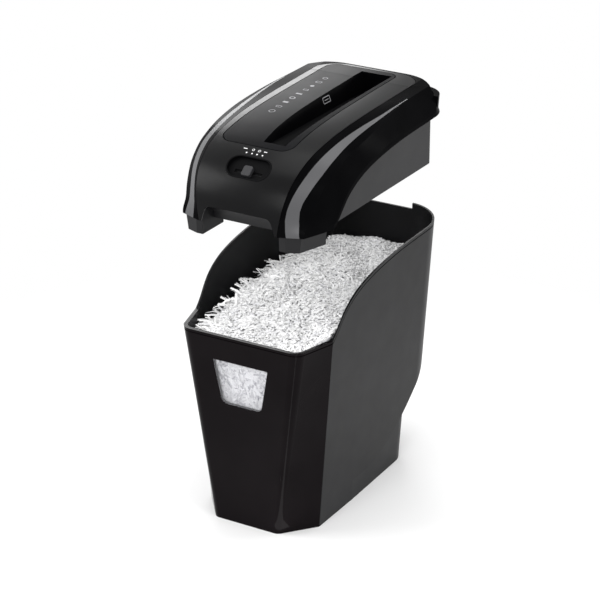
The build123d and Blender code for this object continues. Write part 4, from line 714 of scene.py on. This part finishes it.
# %% Mark in the basin
WALL_TOP = np.array([-10.0, 0.0, 484.0])
WALL_FOOT = np.array([-1.5, 0.0, 462.0])
SHEET_ALONG, SHEET_DOWN = 58.0, 10.5
ALONG_MACHINE = np.array([0, 1, 0])
down_wall = (WALL_FOOT - WALL_TOP) / np.linalg.norm(WALL_FOOT - WALL_TOP)
wall_out = np.array([-down_wall[2], 0.0, down_wall[0]])
sheet_points, sheet_faces = joined([frame_mark(SHEET_ALONG, SHEET_DOWN, 15.0, 7.0, 0.9),
                                    bar_mark(SHEET_ALONG, SHEET_DOWN, 9.0, 0.8)])
on_wall = (WALL_TOP + sheet_points[:, :1] * ALONG_MACHINE + sheet_points[:, 1:2] * down_wall
           + INK_MM * wall_out)
mesh_piece("print_basin_sheet", on_wall, sheet_faces, INK_GREY, "head")
print("sheet mark heights in mm:", np.round(on_wall[:, 2].min(), 1), np.round(on_wall[:, 2].max(), 1))

# %% [markdown]
# Floor
# The photograph is a cut-out on white with soft studio light. The floor is a pale board that fades out
# round the object into a white world, so the ground keeps the shadow and the background stays white. Matt
# card has hardly any sheen, so its mirror level is low.

# %% Floor
scene.view_settings.view_transform = "Standard"
FLOOR_HALF, FADE_FROM, FADE_TO = 1.2, 0.16, 0.70
floor_mesh = bpy.data.meshes.new("floor")
corners = [(-FLOOR_HALF, -FLOOR_HALF, 0), (FLOOR_HALF, -FLOOR_HALF, 0), (FLOOR_HALF, FLOOR_HALF, 0),
           (-FLOOR_HALF, FLOOR_HALF, 0)]
floor_mesh.from_pydata(corners, [], [(0, 1, 2, 3)])
floor = bpy.data.objects.new("floor", floor_mesh)
scene.collection.objects.link(floor)
board, board_tree, ground = new_material("card_backdrop_matt")
away = add(board_tree, "ShaderNodeVectorMath", {"operation": "LENGTH"}, (ground,))
fade = {"From Min": FADE_FROM, "From Max": FADE_TO, "To Min": 1.0, "To Max": 0.0}
cover = add(board_tree, "ShaderNodeMapRange", fade, Value=away.outputs["Value"])
matt_card = {"Base Color": linear("#f3f3f3"), "Roughness": 0.9, "Specular IOR Level": 0.1}
shade(board_tree, matt_card, Alpha=cover.outputs["Result"])
floor_mesh.materials.append(board)
print("floor fades out between", FADE_FROM, "and", FADE_TO, "m from the middle")

# %% [markdown]
# World
# The world is white to the camera, to reflections and through the pane, and dimmer as a light: a light path
# node tells the rays apart.

# %% World
AMBIENT = 0.66
world = bpy.data.worlds.new("studio")
scene.world = world
world.use_nodes = True
sky = world.node_tree
sky.nodes.clear()
rays = add(sky, "ShaderNodeLightPath")
direct = (rays.outputs["Is Camera Ray"], rays.outputs["Is Transmission Ray"])
seen = add(sky, "ShaderNodeMath", {"operation": "MAXIMUM"}, direct)
mirrored = (seen.outputs["Value"], rays.outputs["Is Glossy Ray"])
shown = add(sky, "ShaderNodeMath", {"operation": "MAXIMUM"}, mirrored)
strength = add(sky, "ShaderNodeMapRange", {"To Min": AMBIENT, "To Max": 1.0}, Value=shown.outputs["Value"])
light = add(sky, "ShaderNodeBackground", {"Color": (1, 1, 1, 1)}, Strength=strength.outputs["Result"])
add(sky, "ShaderNodeOutputWorld", Surface=light.outputs["Background"])
print("world as a light:", AMBIENT)

# %% [markdown]
# Lamps
# Three large softboxes stand to the left, in front and to the right, low enough to reach the paper under
# the lifted head, with a fourth above. A small one behind on the left puts the sheen on the cover's left
# shoulder, and one behind on the right lights the rear of the bin's side. The polished front of the bin
# stands nearly upright and is seen from above, so it mirrors the floor: a narrow, faint strip of light that
# lies there, running away from the right front edge, brightens that edge.


# %% Lamp helper
def softbox(name, place, aim, size, watts, turn=0.0):
    """Rectangular area lamp that faces a point; a lamp that faces straight up can be turned about Z."""
    data = bpy.data.lights.new(name, "AREA")
    data.shape = "RECTANGLE"
    data.size, data.size_y = size
    data.energy = watts
    lamp = bpy.data.objects.new(name, data)
    lamp.location = place
    out = np.array(place) - np.array(aim)
    flat = math.hypot(out[0], out[1])
    heading = math.atan2(out[0], -out[1]) if flat else turn
    lamp.rotation_euler = (math.atan2(flat, out[2]), 0.0, heading)
    lamp.visible_camera = False
    scene.collection.objects.link(lamp)
    return lamp


# %% Lamps
MIDDLE = (0, 0, 0.3)
softbox("left", place=(-2.0, -1.2, 1.45), aim=MIDDLE, size=(1.4, 1.4), watts=33.0)
softbox("front", place=(0.35, -2.4, 1.45), aim=MIDDLE, size=(1.6, 1.0), watts=29.0)
softbox("right", place=(2.2, -0.5, 1.35), aim=MIDDLE, size=(1.2, 1.4), watts=14.0)
softbox("top", place=(0.0, 0.2, 2.5), aim=MIDDLE, size=(1.6, 1.6), watts=20.0)
softbox("shoulder", place=(-0.85, 1.10, 0.80), aim=(-0.06, 0.05, 0.47), size=(0.7, 0.6), watts=5.6)
EDGE_X, EDGE_Y = 0.045, -0.140
LINE_TURN = math.radians(40.0)
LINE_LONG, LINE_WIDE, LINE_HIGH = 0.58, 0.035, 0.003
line_x = EDGE_X + LINE_LONG / 2 * math.sin(LINE_TURN)
line_y = EDGE_Y - LINE_LONG / 2 * math.cos(LINE_TURN)
softbox("edge_strip", place=(line_x, line_y, LINE_HIGH), aim=(line_x, line_y, 1.0),
        size=(LINE_WIDE, LINE_LONG), watts=0.15, turn=LINE_TURN)
softbox("rear_right", place=(0.95, 0.85, 0.50), aim=(0.09, 0.12, 0.2), size=(0.5, 0.6), watts=3.5)
print("lamps:", len(bpy.data.lights))
